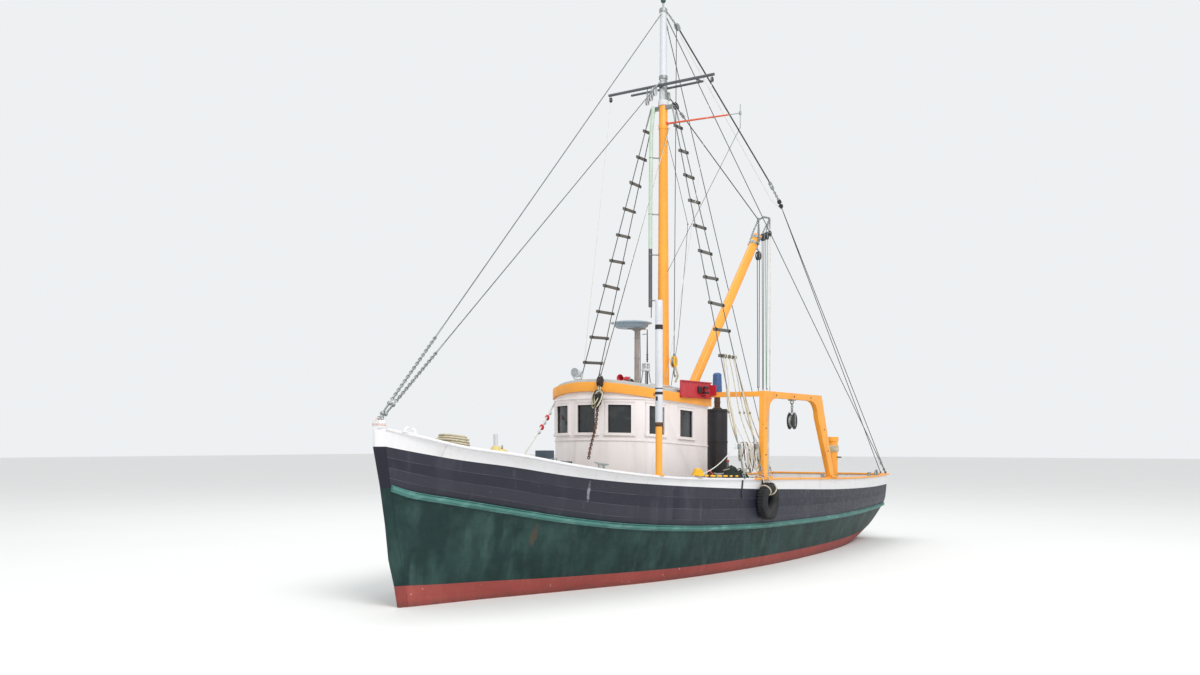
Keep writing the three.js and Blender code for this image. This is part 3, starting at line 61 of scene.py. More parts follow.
def parts(count):
    """Shares of a whole at equal steps, both ends included."""
    return [i / count for i in range(count + 1)]


def circle(count):
    """Angles at equal steps once round."""
    return [2 * pi * i / count for i in range(count)]


# Camera, floor and light

camera_data = bpy.data.cameras.new("camera")
camera_data.lens = 33.9
camera_data.sensor_width = 36
camera_data.shift_y = 0.0879
camera_data.clip_end = 500
camera = bpy.data.objects.new("camera", camera_data)
scene.collection.objects.link(camera)
camera.location = (17.23, 10.18, 2.1)
camera.rotation_mode = "QUATERNION"
camera.rotation_quaternion = vec(-0.829, -0.5592, 0).to_track_quat("-Z", "Y")
scene.camera = camera

scene.view_settings.view_transform = "Standard"
world = bpy.data.worlds.new("sky")
scene.world = world
world.use_nodes = True
world.node_tree.nodes["Background"].inputs["Color"].default_value = (0.93, 0.95, 0.97, 1)
world.node_tree.nodes["Background"].inputs["Strength"].default_value = 0.92


def area_light(name, place, target, size, power, colour=(1, 1, 1)):
    data = bpy.data.lights.new(name, "AREA")
    data.shape = "DISK"
    data.size = size
    data.energy = power
    data.color = colour
    light = bpy.data.objects.new(name, data)
    scene.collection.objects.link(light)
    light.location = place
    light.rotation_mode = "QUATERNION"
    light.rotation_quaternion = (Vector(target) - Vector(place)).to_track_quat("-Z", "Y")


area_light("key", (14, 16, 20), (0, 0, 2), 12, 3600, (1, 0.985, 0.96))
area_light("top", (-6, -8, 24), (-1, 0, 2), 16, 1500, (0.95, 0.98, 1))


# Materials

def rgb(code):
    """A display colour's code as linear light."""
    shown = [int(code[i:i + 2], 16) / 255 for i in (0, 2, 4)]
    return tuple(c / 12.92 if c <= 0.04045 else ((c + 0.055) / 1.055) ** 2.4 for c in shown) + (1,)


class Look:
    """A material and the nodes that make its colour, roughness and bump."""

    def __init__(self, name, colour, rough=0.5, metal=0.0, vary=0.08, scale=2.0, fine=0.15, specular=0.5):
        self.mat = bpy.data.materials.new(name)
        self.mat.use_nodes = True
        self.nodes = self.mat.node_tree.nodes
        self.links = self.mat.node_tree.links
        self.shader = self.nodes["Principled BSDF"]
        self.shader.inputs["Metallic"].default_value = metal
        self.shader.inputs["Specular IOR Level"].default_value = specular
        self.mat.diffuse_color = rgb(colour)
        base = Vector(rgb(colour)[:3])
        self.coords = self.nodes.new("ShaderNodeTexCoord")
        broad = self.noise(scale, 5)
        self.colour = self.blend(self.band(broad, 0.3, 0.7), tuple(base * (1 - vary)),
                                 tuple(base * (1 + vary)))
        small = self.noise(scale * 9, 4)
        self.rough = self.band(small, 0.25, 0.75, max(rough - 0.09, 0.03), min(rough + 0.12, 1))
        self.height = None
        if fine:
            self.raise_by(self.noise(scale * 30, 3), fine * 0.0015)

    def node(self, kind, **values):
        made = self.nodes.new(kind)
        for key, value in values.items():
            setattr(made, key, value)
        return made

    def noise(self, scale, detail=4, stretch=(1, 1, 1), shift=0.0, distortion=0.0):
        mapping = self.node("ShaderNodeMapping")
        self.links.new(self.coords.outputs["Object"], mapping.inputs["Vector"])
        mapping.inputs["Scale"].default_value = stretch
        mapping.inputs["Location"].default_value = (shift, shift * 1.7, shift * 0.6)
        tex = self.node("ShaderNodeTexNoise")
        self.links.new(mapping.outputs["Vector"], tex.inputs["Vector"])
        tex.inputs["Scale"].default_value = scale
        tex.inputs["Detail"].default_value = detail
        tex.inputs["Roughness"].default_value = 0.58
        tex.inputs["Distortion"].default_value = distortion
        return tex.outputs["Fac"]

    def axis(self, name, source="Object"):
        split = self.node("ShaderNodeSeparateXYZ")
        self.links.new(self.coords.outputs[source], split.inputs["Vector"])
        return split.outputs[name]

    def maths(self, operation, *values):
        made = self.node("ShaderNodeMath", operation=operation)
        for socket, value in zip(made.inputs, values):
            if isinstance(value, (int, float)):
                socket.default_value = value
            else:
                self.links.new(value, socket)
        return made.outputs[0]

    def band(self, value, low, high, to_low=0.0, to_high=1.0):
        made = self.node("ShaderNodeMapRange")
        self.links.new(value, made.inputs["Value"])
        for key, number in (("From Min", low), ("From Max", high), ("To Min", to_low), ("To Max", to_high)):
            made.inputs[key].default_value = number
        return made.outputs["Result"]

    def blend(self, factor, first, second):
        made = self.node("ShaderNodeMix", data_type="RGBA")
        self.links.new(factor, made.inputs["Factor"])
        for socket, value in ((made.inputs[6], first), (made.inputs[7], second)):
            if isinstance(value, tuple):
                socket.default_value = tuple(value[:3]) + (1,)
            else:
                self.links.new(value, socket)
        return made.outputs[2]

    def times(self, first, second):
        return self.maths("MULTIPLY", first, second)

    def tint(self, factor, code, rough=None):
        self.colour = self.blend(factor, self.colour, rgb(code))
        if rough is not None:
            made = self.node("ShaderNodeMix", data_type="FLOAT")
            self.links.new(factor, made.inputs["Factor"])
            self.links.new(self.rough, made.inputs[2])
            made.inputs[3].default_value = rough
            self.rough = made.outputs[0]
        return self

    def raise_by(self, height, amount):
        step = self.times(height, amount)
        self.height = step if self.height is None else self.maths("ADD", self.height, step)
        return self

    def streaks(self, code, amount, scale, low, high, shift=3.0):
        """Runs of dirt or rust that hang down a wall."""
        runs = self.band(self.noise(scale, 5, (1, 1, 0.09), shift), low, high)
        patches = self.band(self.noise(scale * 0.3, 3, shift=shift + 5), 0.42, 0.62)
        return self.tint(self.times(self.times(runs, patches), amount), code)

    def chips(self, code, amount, scale, low, high, shift=9.0):
        """Small places where paint is gone, with what is under it showing."""
        mask = self.band(self.noise(scale, 6, shift=shift, distortion=0.4), low, high)
        patches = self.band(self.noise(scale * 0.12, 2, shift=shift + 2), 0.5, 0.62)
        mask = self.times(mask, patches)
        self.tint(self.times(mask, amount), code, 0.8)
        return self.raise_by(mask, -0.0006)

    def spot(self, place, size, code, amount):
        """One stain at a place on the boat, with a broken edge."""
        far = self.node("ShaderNodeVectorMath", operation="DISTANCE")
        shrunk = self.node("ShaderNodeMapping")
        self.links.new(self.coords.outputs["Object"], shrunk.inputs["Vector"])
        shrunk.inputs["Scale"].default_value = tuple(1 / s for s in size)
        self.links.new(shrunk.outputs["Vector"], far.inputs[0])
        far.inputs[1].default_value = tuple(p / s for p, s in zip(place, size))
        ragged = self.maths("ADD", far.outputs["Value"], self.band(self.noise(22, 5), 0.2, 0.8, -0.5, 0.5))
        return self.tint(self.times(self.band(ragged, 1.0, 0.55), amount), code, 0.85)

    def edge(self, value):
        """How far the value is from a whole number."""
        part = self.maths("FRACT", value)
        return self.maths("MINIMUM", part, self.maths("SUBTRACT", 1.0, part))

    def lines(self, value, code, width, amount, depth, broken=True):
        """Seams where the value passes a whole number."""
        edge = self.edge(value)
        seam = self.band(edge, width, 0.0)
        self.raise_by(seam, -depth)
        if broken:
            seam = self.times(seam, self.band(self.noise(1.1, 4, shift=12), 0.38, 0.6))
        return self.tint(self.times(seam, amount), code)

    def patches(self, code, amount, low, high, scale, detail=5, stretch=(1, 1, 1), shift=0.0, rough=None):
        """Broad marks of another colour."""
        marks = self.band(self.noise(scale, detail, stretch, shift), low, high)
        return self.tint(self.times(marks, amount), code, rough)

    def boards(self, axis, per_metre, code, width, amount, depth):
        """Straight seams across one axis of the boat."""
        return self.lines(self.times(self.axis(axis), per_metre), code, width, amount, depth, broken=False)

    def shades(self, board, code, amount):
        """Each board a little darker or lighter than the next."""
        shade = self.node("ShaderNodeTexWhiteNoise", noise_dimensions="1D")
        self.links.new(board, shade.inputs["W"])
        return self.tint(self.band(shade.outputs["Value"], 0, 1, 0.0, amount), code)

    def planked(self, code, width, amount):
        """Hull planks: seams along the boat by the second UV axis, butts staggered along the first."""
        across = self.axis("Y", "UV")
        self.lines(across, code, width, amount, 0.0016)
        plank = self.maths("FLOOR", across)
        along = self.maths("MULTIPLY_ADD", self.axis("X", "UV"), 0.19, self.times(plank, 0.37))
        self.raise_by(self.band(self.edge(along), 0.0012, 0.0), -0.00096)
        return self.shades(plank, code, 0.06)

    def done(self):
        self.links.new(self.colour, self.shader.inputs["Base Color"])
        self.links.new(self.rough, self.shader.inputs["Roughness"])
        if self.height is not None:
            bump = self.node("ShaderNodeBump")
            bump.inputs["Strength"].default_value = 1.0
            bump.inputs["Distance"].default_value = 1.0
            self.links.new(self.height, bump.inputs["Height"])
            self.links.new(bump.outputs["Normal"], self.shader.inputs["Normal"])
        return self.mat


navy = (Look("navy_planks", "232431", 0.48, vary=0.10, scale=1.3, fine=0.25, specular=0.28)
        .planked("8f919b", 0.022, 0.5).streaks("5b5d68", 0.35, 3.5, 0.5, 0.75)
        .streaks("6d6f78", 0.4, 9.0, 0.6, 0.8, shift=21).chips("7d7e86", 0.6, 30, 0.67, 0.71)
        .spot((4.31, 1.2, 1.42), (0.03, 0.3, 0.15), "a7aab4", 0.55).done())
# Painted shade: the stem's navy is a darker, less glossy copy of the planking's navy, so that its flat side,
# which faces the light, shows as dark as the planking.
navy_stem_painted_shade = Look("navy_stem_painted_shade", "20212d", 0.5, vary=0.10, scale=1.3, fine=0.25, specular=0.26).done()
green = (Look("green_planks", "17312f", 0.55, vary=0.16, scale=1.6, fine=0.3, specular=0.25)
         .planked("12302f", 0.035, 0.55)
         .patches("456560", 0.45, 0.45, 0.75, 2.6, 6, (1, 1, 0.6), 4, rough=0.62)
         .streaks("52706a", 0.4, 6, 0.5, 0.75).streaks("16292b", 0.5, 4, 0.5, 0.72, shift=14)
         .chips("7a5c4c", 0.6, 24, 0.68, 0.71).spot((4.97, 0.86, 0.84), (0.06, 0.4, 0.17), "5f4a3c", 0.5)
         .done())
look = Look("red_bottom", "97423c", 0.72, vary=0.12, scale=1.8, fine=0.5)
look.planked("6e302c", 0.03, 0.4)
look.streaks("b3665c", 0.4, 6, 0.5, 0.75)
look.chips("cdb9ae", 0.75, 16, 0.66, 0.69, shift=2)
look.tint(look.times(look.band(look.axis("Z"), 0.09, 0.0), look.band(look.noise(7, 5), 0.3, 0.7, 0.3, 0.9)),
          "5e3a33", 0.5)
look.tint(look.times(look.band(look.axis("Z"), -0.02, -0.3), 0.55), "5a4038", 0.8)
red_bottom = look.done()
white_band = (Look("white_band", "e2e1e3", 0.42, vary=0.03, scale=1.4, fine=0.2)
              .streaks("b9b4ab", 0.35, 7, 0.5, 0.75).streaks("a9734a", 0.28, 8, 0.64, 0.8, shift=17)
              .chips("9b9a98", 0.7, 26, 0.67, 0.7).boards("X", 0.31, "8d8b88", 0.0022, 0.5, 0.001).done())
house_white = (Look("house_white", "ece5e4", 0.45, vary=0.03, scale=1.2, fine=0.22)
               .streaks("cbbcb2", 0.35, 5, 0.5, 0.75).streaks("b78764", 0.22, 7, 0.66, 0.82, shift=17)
               .chips("a39c98", 0.6, 22, 0.68, 0.71).done())
teal = (Look("teal_paint", "427670", 0.55, vary=0.12, scale=2.5, fine=0.3)
        .patches("7fb0a8", 0.5, 0.5, 0.7, 4, 5, (1, 1, 3), 4).streaks("2c5753", 0.5, 6, 0.5, 0.7)
        .chips("9c6b4e", 0.7, 20, 0.67, 0.7).done())
orange = (Look("orange_paint", "f5a53a", 0.42, vary=0.07, scale=1.6, fine=0.2)
          .streaks("c9762a", 0.45, 6, 0.52, 0.78).streaks("8a5330", 0.5, 9, 0.66, 0.8, shift=23)
          .chips("6b4a38", 0.85, 18, 0.665, 0.69).spot((2.02, 1.0, 2.86), (0.07, 0.2, 0.04), "7a4a30", 0.8)
          .done())
look = Look("deck_planks", "a49c8c", 0.82, vary=0.1, scale=2.2, fine=0.6)
look.boards("Y", 1 / 0.095, "3c3834", 0.035, 0.85, 0.002)
look.shades(look.maths("FLOOR", look.times(look.axis("Y"), 1 / 0.095)), "7b7468", 0.35)
look.patches("6d6559", 0.4, 0.45, 0.75, 30, 5, (0.05, 1, 1))
look.patches("5d5b50", 0.35, 0.5, 0.7, 1.2, 4, shift=8, rough=0.6)
deck_wood = look.done()
galvanised = (Look("galvanised", "9aa09f", 0.5, 0.75, vary=0.14, scale=9, fine=0.4)
              .streaks("7b5a40", 0.55, 14, 0.55, 0.75).done())
rusty = (Look("rusty_steel", "5d463a", 0.72, 0.45, vary=0.22, scale=7, fine=1.0)
         .patches("8a5534", 0.8, 0.48, 0.7, 16, 5, shift=2, rough=0.9)
         .patches("2d2826", 0.6, 0.55, 0.75, 9, 4, shift=6).done())
black_iron = (Look("black_iron", "2a2a2f", 0.55, 0.2, vary=0.2, scale=3, fine=0.4)
              .streaks("5d4436", 0.6, 8, 0.55, 0.75).streaks("4b4b50", 0.5, 5, 0.5, 0.72, shift=12)
              .chips("7a5138", 0.8, 24, 0.66, 0.69).done())
grey_steel = (Look("grey_green_steel", "66726c", 0.55, 0.3, vary=0.12, scale=4, fine=0.4)
              .streaks("8a5a3c", 0.6, 8, 0.52, 0.75).chips("7a4a2e", 0.8, 22, 0.64, 0.68).done())
blue = (Look("blue_paint", "3f5f93", 0.5, vary=0.12, scale=6, fine=0.3)
        .streaks("23355c", 0.6, 10, 0.5, 0.72).chips("7c5a48", 0.7, 30, 0.66, 0.69).done())
port_red = (Look("red_paint", "c02a38", 0.42, vary=0.08, scale=4, fine=0.25)
            .streaks("7f1f28", 0.5, 9, 0.5, 0.72).chips("7a5048", 0.8, 26, 0.66, 0.69).done())
starboard_green = (Look("starboard_paint", "2f7d4f", 0.45, vary=0.08, scale=4, fine=0.25)
                   .streaks("1c5234", 0.5, 9, 0.5, 0.72).chips("7a6a58", 0.8, 26, 0.66, 0.69).done())
mast_white = (Look("topmast_white", "cfd1d6", 0.5, vary=0.05, scale=3, fine=0.25)
              .streaks("9fa3a8", 0.5, 7, 0.48, 0.72).chips("8a7462", 0.6, 26, 0.66, 0.69).done())
radome_blue = (Look("radome_plastic", "8f9fac", 0.4, vary=0.06, scale=5, fine=0.15)
               .streaks("6d7a85", 0.4, 8, 0.5, 0.72).done())
radar_grey = (Look("radar_post_paint", "9c918c", 0.6, vary=0.1, scale=5, fine=0.3)
              .streaks("6d5f58", 0.5, 9, 0.5, 0.72).done())
faded_pink = (Look("faded_pink", "d9c3bd", 0.6, vary=0.1, scale=8, fine=0.3)
              .streaks("8f7a70", 0.5, 14, 0.5, 0.72).done())
dark_steel = (Look("dark_steel", "5f6066", 0.55, 0.4, vary=0.12, scale=7, fine=0.4)
              .streaks("3f3c3c", 0.6, 10, 0.5, 0.72).done())
roof_grey = (Look("roof_grey", "bdbdb8", 0.7, vary=0.06, scale=2, fine=0.8)
             .patches("8f8f88", 0.4, 0.45, 0.7, 1.5, 5, shift=4, rough=0.85)
             .streaks("7b6a58", 0.3, 5, 0.55, 0.75).done())
hatch_paint = (Look("hatch_paint", "46525e", 0.55, vary=0.1, scale=4, fine=0.4)
               .chips("8d8678", 0.8, 20, 0.65, 0.69).streaks("2c343c", 0.5, 6, 0.5, 0.72).done())
cover_wood = (Look("cover_planks", "85877a", 0.8, vary=0.1, scale=3, fine=0.6)
              .boards("Y", 1 / 0.155, "2e2d2a", 0.03, 0.9, 0.003)
              .patches("5f6056", 0.5, 0.45, 0.75, 26, 5, (0.06, 1, 1)).chips("b5aa92", 0.7, 14, 0.62, 0.68)
              .done())
timber = (Look("bare_timber", "a08a68", 0.75, vary=0.12, scale=5, fine=0.5)
          .patches("6d5a42", 0.55, 0.45, 0.75, 30, 5, (0.3, 0.3, 0.05)).done())
pale_yellow = (Look("pale_yellow", "dccb86", 0.6, vary=0.1, scale=6, fine=0.3)
               .streaks("9c8c5a", 0.5, 9, 0.5, 0.72).done())
yellow = (Look("lamp_yellow", "f2b81e", 0.5, vary=0.1, scale=8, fine=0.3)
          .streaks("9c7018", 0.5, 12, 0.5, 0.72).done())
bronze = (Look("bronze", "a5843f", 0.42, 0.85, vary=0.2, scale=6, fine=0.4)
          .patches("4d6a58", 0.6, 0.5, 0.7, 8, 5, shift=2, rough=0.7).done())
rubber = (Look("tyre_rubber", "232327", 0.78, vary=0.2, scale=6, fine=0.8)
          .patches("4c4a48", 0.5, 0.5, 0.72, 5, 5, shift=3, rough=0.9).done())
rung_wood = (Look("rung_wood", "615f5b", 0.8, vary=0.2, scale=6, fine=0.5)
             .patches("6d675e", 0.5, 0.45, 0.75, 30, 5, (0.1, 1, 1)).done())
pale_green = (Look("pale_green_tube", "b9cdbd", 0.5, vary=0.08, scale=6, fine=0.2)
              .streaks("8ba593", 0.5, 9, 0.5, 0.72).done())
red_orange = (Look("aerial_orange", "d8603a", 0.5, vary=0.1, scale=6, fine=0.3)
              .chips("8c8a86", 0.7, 26, 0.65, 0.69).done())
dark_green_ball = (Look("truck_green", "2f4d47", 0.45, vary=0.1, scale=6, fine=0.2)
                   .streaks("1d302c", 0.5, 9, 0.5, 0.72).done())
floor_grey = Look("floor", "e9e9e7", 0.9, vary=0.01, scale=0.3, fine=0).done()


def rope_look(name, code, dark, pitch, strands=3, rough=0.85, metal=0.0, depth=0.002):
    """Laid rope or wire: the strands wind round a tube whose first UV axis is its length."""
    look = Look(name, code, rough, metal, vary=0.16, scale=14, fine=0.3)
    turn = look.maths("MULTIPLY_ADD", look.axis("X", "UV"), 1 / pitch,
                      look.times(look.axis("Y", "UV"), float(strands)))
    wave = look.maths("PINGPONG", turn, 0.5)
    look.raise_by(wave, depth)
    # Painted shade: the dark colour darkens the grooves between the strands; the patches below are dirt of
    # the same colour.
    look.tint(look.band(wave, 0.14, 0.0, 0, 0.75), dark)
    look.patches(dark, 0.4, 0.5, 0.72, 7, 4, shift=5)
    return look.done()


wire = rope_look("stay_wire", "73787a", "3f3c3a", 0.02, 6, 0.5, 0.6, 0.0006)
dark_wire = rope_look("tarred_wire", "4a4d4c", "25262a", 0.02, 6, 0.65, 0.3, 0.0006)
hemp = rope_look("pale_rope", "cfc6ae", "85795f", 0.045)
green_rope = rope_look("green_rope", "7fa08c", "45685a", 0.03, 3, 0.8, 0.0, 0.001)
white_rope = rope_look("white_rope", "dddcd6", "96928a", 0.035, 3, 0.8, 0.0, 0.001)
black_rope = rope_look("black_cord", "2c2b2d", "111113", 0.02, 3, 0.8, 0.0, 0.001)
net_green = rope_look("net_twine", "4c6a5c", "2c4038", 0.02, 3, 0.85, 0.0, 0.001)
net_dark = Look("heaped_net", "33403b", 0.9, vary=0.3, scale=14, fine=1.2).done()


def glass_look(name, colour, transmission, rough=0.05):
    """Glass with some salt on it."""
    look = Look(name, colour, rough, vary=0.05, scale=3, fine=0)
    look.patches("b9bcbc", 0.25, 0.5, 0.75, 4, 5, shift=3, rough=0.25)
    look.shader.inputs["Transmission Weight"].default_value = transmission
    look.shader.inputs["IOR"].default_value = 1.45
    return look.done()


pane = glass_look("window_glass", "5b6266", 0.8)
red_lens = glass_look("red_lens", "b01c24", 0.5, 0.12)
green_lens = glass_look("green_lens", "1f8a4c", 0.5, 0.12)
clear_lens = glass_look("clear_lens", "d5dadd", 0.5, 0.08)
dark = Look("dark_inside", "17181b", 0.7, vary=0.2, scale=5, fine=0.2).done()
lining = (Look("cabin_lining", "9a8264", 0.6, vary=0.12, scale=3, fine=0.3)
          .boards("Z", 1 / 0.11, "4c3c2a", 0.04, 0.7, 0.001).done())

# Mesh tools


class Pile:
    """The vertices and faces of one piece, gathered from many small forms."""

    def __init__(self):
        self.verts = []
        self.faces = []
        self.mats = []
        self.uvs = []

    def put(self, verts, faces, mat=0, uvs=None):
        first = len(self.verts)
        self.verts += [Vector(v) for v in verts]
        for i, face in enumerate(faces):
            self.faces.append([first + k for k in face])
            self.mats.append(mat)
            self.uvs.append(uvs[i] if uvs else [(0.0, 0.0)] * len(face))

    def loft(self, rings, mat=0, closed=True, ends=True):
        """A skin through rings of one count, with a cap at either end."""
        n = len(rings[0])
        faces = [[k * n + i, k * n + (i + 1) % n, (k + 1) * n + (i + 1) % n, (k + 1) * n + i]
                 for k in range(len(rings) - 1) for i in range(n if closed else n - 1)]
        if ends:
            faces += [list(range(n)), [(len(rings) - 1) * n + i for i in range(n)][::-1]]
        self.put([v for ring in rings for v in ring], faces, mat)

    def box(self, low, high, mat=0, edge=0.004):
        """A block with chamfered edges."""
        low, high = Vector(low), Vector(high)
        c = min([edge] + [(high[i] - low[i]) * 0.3 for i in range(3)])
        places = {}
        verts = []
        for sx in (0, 1):
            for sy in (0, 1):
                for sz in (0, 1):
                    corner = (sx, sy, sz)
                    for flat in range(3):
                        p = [(high if s else low)[i] for i, s in enumerate(corner)]
                        for i in range(3):
                            if i != flat:
                                p[i] += -c if corner[i] else c
                        places[corner + (flat,)] = len(verts)
                        verts.append(p)
        faces = []
        for flat in range(3):
            a, b = [i for i in range(3) if i != flat]
            for s in (0, 1):
                ring = []
                for u, v in ((0, 0), (1, 0), (1, 1), (0, 1)):
                    key = [0, 0, 0]
                    key[flat], key[a], key[b] = s, u, v
                    ring.append(places[tuple(key) + (flat,)])
                faces.append(ring)
            for u in (0, 1):
                for v in (0, 1):
                    ends = []
                    for s in (0, 1):
                        key = [0, 0, 0]
                        key[flat], key[a], key[b] = s, u, v
                        ends.append(tuple(key))
                    faces.append([places[ends[0] + (a,)], places[ends[1] + (a,)],
                                  places[ends[1] + (b,)], places[ends[0] + (b,)]])
        for key in [(x, y, z) for x in (0, 1) for y in (0, 1) for z in (0, 1)]:
            faces.append([places[key + (k,)] for k in range(3)])
        self.put(verts, faces, mat)

    def beam(self, a, b, width, height, mat=0, edge=0.004, up=UP):
        """A squared bar from a to b: width is across it, height along up."""
        a, b = Vector(a), Vector(b)
        long = (b - a).length
        x = (b - a).normalized()
        y = Vector(up).cross(x).normalized()
        z = x.cross(y)
        turn = Matrix((x, y, z)).transposed()
        part = Pile()
        part.box((0, -width / 2, -height / 2), (long, width / 2, height / 2), mat, edge)
        self.put([turn @ v + a for v in part.verts], part.faces, mat)

    def lathe(self, profile, origin, axis=UP, sides=20, mat=0):
        """Turns (radius, height) pairs about an axis through origin."""
        axis = Vector(axis).normalized()
        side = axis.orthogonal().normalized()
        other = axis.cross(side)
        rings = [[Vector(origin) + axis * h + (side * cos(t) + other * sin(t)) * max(r, 1e-5)
                  for t in circle(sides)] for r, h in profile]
        self.loft(rings, mat, ends=False)

    def bar(self, a, b, r0, r1=None, sides=12, mat=0, edge=0.003):
        a, b = Vector(a), Vector(b)
        r1 = r0 if r1 is None else r1
        long = (b - a).length
        c = min(edge, r0 * 0.4, r1 * 0.4, long * 0.3)
        self.lathe([(0, 0), (r0 - c, 0), (r0, c), (r1, long - c), (r1 - c, long), (0, long)],
                   a, b - a, sides, mat)

    def tube(self, path, radius, sides=8, mat=0, closed=False):
        """A round rod along a path, its first UV axis the length in metres."""
        path = [Vector(p) for p in path]
        n = len(path)
        radii = radius if isinstance(radius, (list, tuple)) else [radius] * n
        verts, faces, uvs = [], [], []
        tangents = []
        for i in range(n):
            before = path[(i - 1) % n] if closed or i else path[0]
            after = path[(i + 1) % n] if closed or i < n - 1 else path[-1]
            tangents.append((after - before).normalized())
        side = tangents[0].orthogonal().normalized()
        far = [0.0]
        for i in range(n):
            side = (side - tangents[i] * side.dot(tangents[i])).normalized()
            other = tangents[i].cross(side)
            if i:
                far.append(far[-1] + (path[i] - path[i - 1]).length)
            for k in range(sides):
                t = 2 * pi * k / sides
                verts.append(path[i] + (side * cos(t) + other * sin(t)) * radii[i])
        for i in range(n if closed else n - 1):
            j = (i + 1) % n
            end = far[j] if j else far[-1] + (path[0] - path[-1]).length
            for k in range(sides):
                m = (k + 1) % sides
                faces.append([i * sides + k, i * sides + m, j * sides + m, j * sides + k])
                v0, v1 = k / sides, (k + 1) / sides
                uvs.append([(far[i], v0), (far[i], v1), (end, v1), (end, v0)])
        if not closed:
            for ring in (list(range(sides))[::-1], [(n - 1) * sides + k for k in range(sides)]):
                faces.append(ring)
                uvs.append([(0.0, 0.0)] * sides)
        self.put(verts, faces, mat, uvs)

    def ring(self, centre, axis, big, small, sides=20, thin=8, mat=0):
        axis = Vector(axis).normalized()
        side = axis.orthogonal().normalized()
        other = axis.cross(side)
        path = [Vector(centre) + (side * cos(t) + other * sin(t)) * big for t in circle(sides)]
        self.tube(path, small, thin, mat, closed=True)

    def plate(self, outline, origin, across, up, thick, mat=0, edge=0.003):
        """A flat shape in the across and up directions, with chamfered rims."""
        across, up = Vector(across).normalized(), Vector(up).normalized()
        normal = across.cross(up)
        n = len(outline)
        area = sum(outline[i][0] * outline[(i + 1) % n][1] - outline[(i + 1) % n][0] * outline[i][1]
                   for i in range(n))
        pts = outline if area > 0 else outline[::-1]
        inner = []
        for i in range(n):
            p = Vector(pts[i])
            a = (p - Vector(pts[i - 1])).normalized()
            b = (Vector(pts[(i + 1) % n]) - p).normalized()
            inward = Vector((-a.y - b.y, a.x + b.x))
            inner.append(p + inward.normalized() * edge if inward.length > 1e-6 else p)
        rings = []
        for ring, h in ((inner, -thick / 2), (pts, -thick / 2 + edge), (pts, thick / 2 - edge),
                        (inner, thick / 2)):
            rings.append([Vector(origin) + across * q[0] + up * q[1] + normal * h for q in ring])
        self.loft(rings, mat)

    def ball(self, centre, radius, sides=14, mat=0, squash=1.0):
        steps = max(5, sides // 2)
        profile = [(radius * sin(pi * i / steps), -radius * squash * cos(pi * i / steps))
                   for i in range(steps + 1)]
        self.lathe(profile, centre, UP, sides, mat)

    def bolt(self, place, axis, size=0.012, mat=0):
        """A washer and a six-sided head."""
        self.lathe([(0, 0), (size * 1.25, 0), (size * 1.25, size * 0.18), (0, size * 0.18)],
                   place, axis, 12, mat)
        up = Vector(place) + Vector(axis).normalized() * size * 0.18
        self.lathe([(0, 0), (size * 0.9, 0), (size * 0.9, size * 0.5), (size * 0.75, size * 0.62),
                    (0, size * 0.62)], up, axis, 6, mat)

    def chain(self, path, wire_radius=0.006, link=0.045, mat=0):
        """Links along a path, each turned a quarter round from the last."""
        path = [Vector(p) for p in path]
        far = [0.0]
        for a, b in zip(path, path[1:]):
            far.append(far[-1] + (b - a).length)
        pitch = link - 2.4 * wire_radius
        count = max(2, int(far[-1] / pitch))

        def at(d):
            for i in range(len(path) - 1):
                if d <= far[i + 1] or i == len(path) - 2:
                    share = (d - far[i]) / max(far[i + 1] - far[i], 1e-6)
                    return path[i].lerp(path[i + 1], min(share, 1)), (path[i + 1] - path[i]).normalized()
        half, wide = link / 2 - wire_radius * 2.2, wire_radius * 1.9
        for c in range(count):
            centre, along = at((c + 0.5) * far[-1] / count)
            side = along.orthogonal().normalized()
            if c % 2:
                side = along.cross(side)
            loop = []
            for end in (1, -1):
                for t in [-end * pi / 2 + pi * k / 4 for k in range(5)]:
                    loop.append(centre + along * (end * half + wide * cos(t)) + side * wide * sin(t))
            self.tube(loop, wire_radius, 6, mat, closed=True)

    def block(self, centre, down, size=0.16, mat=0, metal=1, facing=ACROSS):
        """A rigging block: two cheeks, a sheave between them, straps and an eye on top."""
        down = Vector(down).normalized()
        side = Vector(facing) - down * Vector(facing).dot(down)
        side.normalize()
        across = down.cross(side)
        outline = [(cos(t) * size * 0.36, sin(t) * size * 0.5) for t in circle(18)]
        for s in (-1, 1):
            self.plate(outline, Vector(centre) + side * s * size * 0.15, across, -down, size * 0.08, mat,
                       size * 0.02)
        hub = Vector(centre) - side * size * 0.22
        self.bar(hub, hub + side * size * 0.44, size * 0.06, sides=10, mat=metal)
        rim = [(size * 0.05, -0.09 * size), (size * 0.34, -0.09 * size), (size * 0.34, -0.07 * size),
               (size * 0.27, 0), (size * 0.34, 0.07 * size), (size * 0.34, 0.09 * size),
               (size * 0.05, 0.09 * size)]
        self.lathe(rim, centre, side, 18, metal)
        self.ring(Vector(centre) - down * size * 0.6, side, size * 0.11, size * 0.035, 14, 6, metal)
        for s in (-1, 1):
            strap = Vector(centre) + side * s * size * 0.2
            self.beam(strap - down * size * 0.52, strap + down * size * 0.3, size * 0.1, size * 0.025, metal,
                      0.002, side)

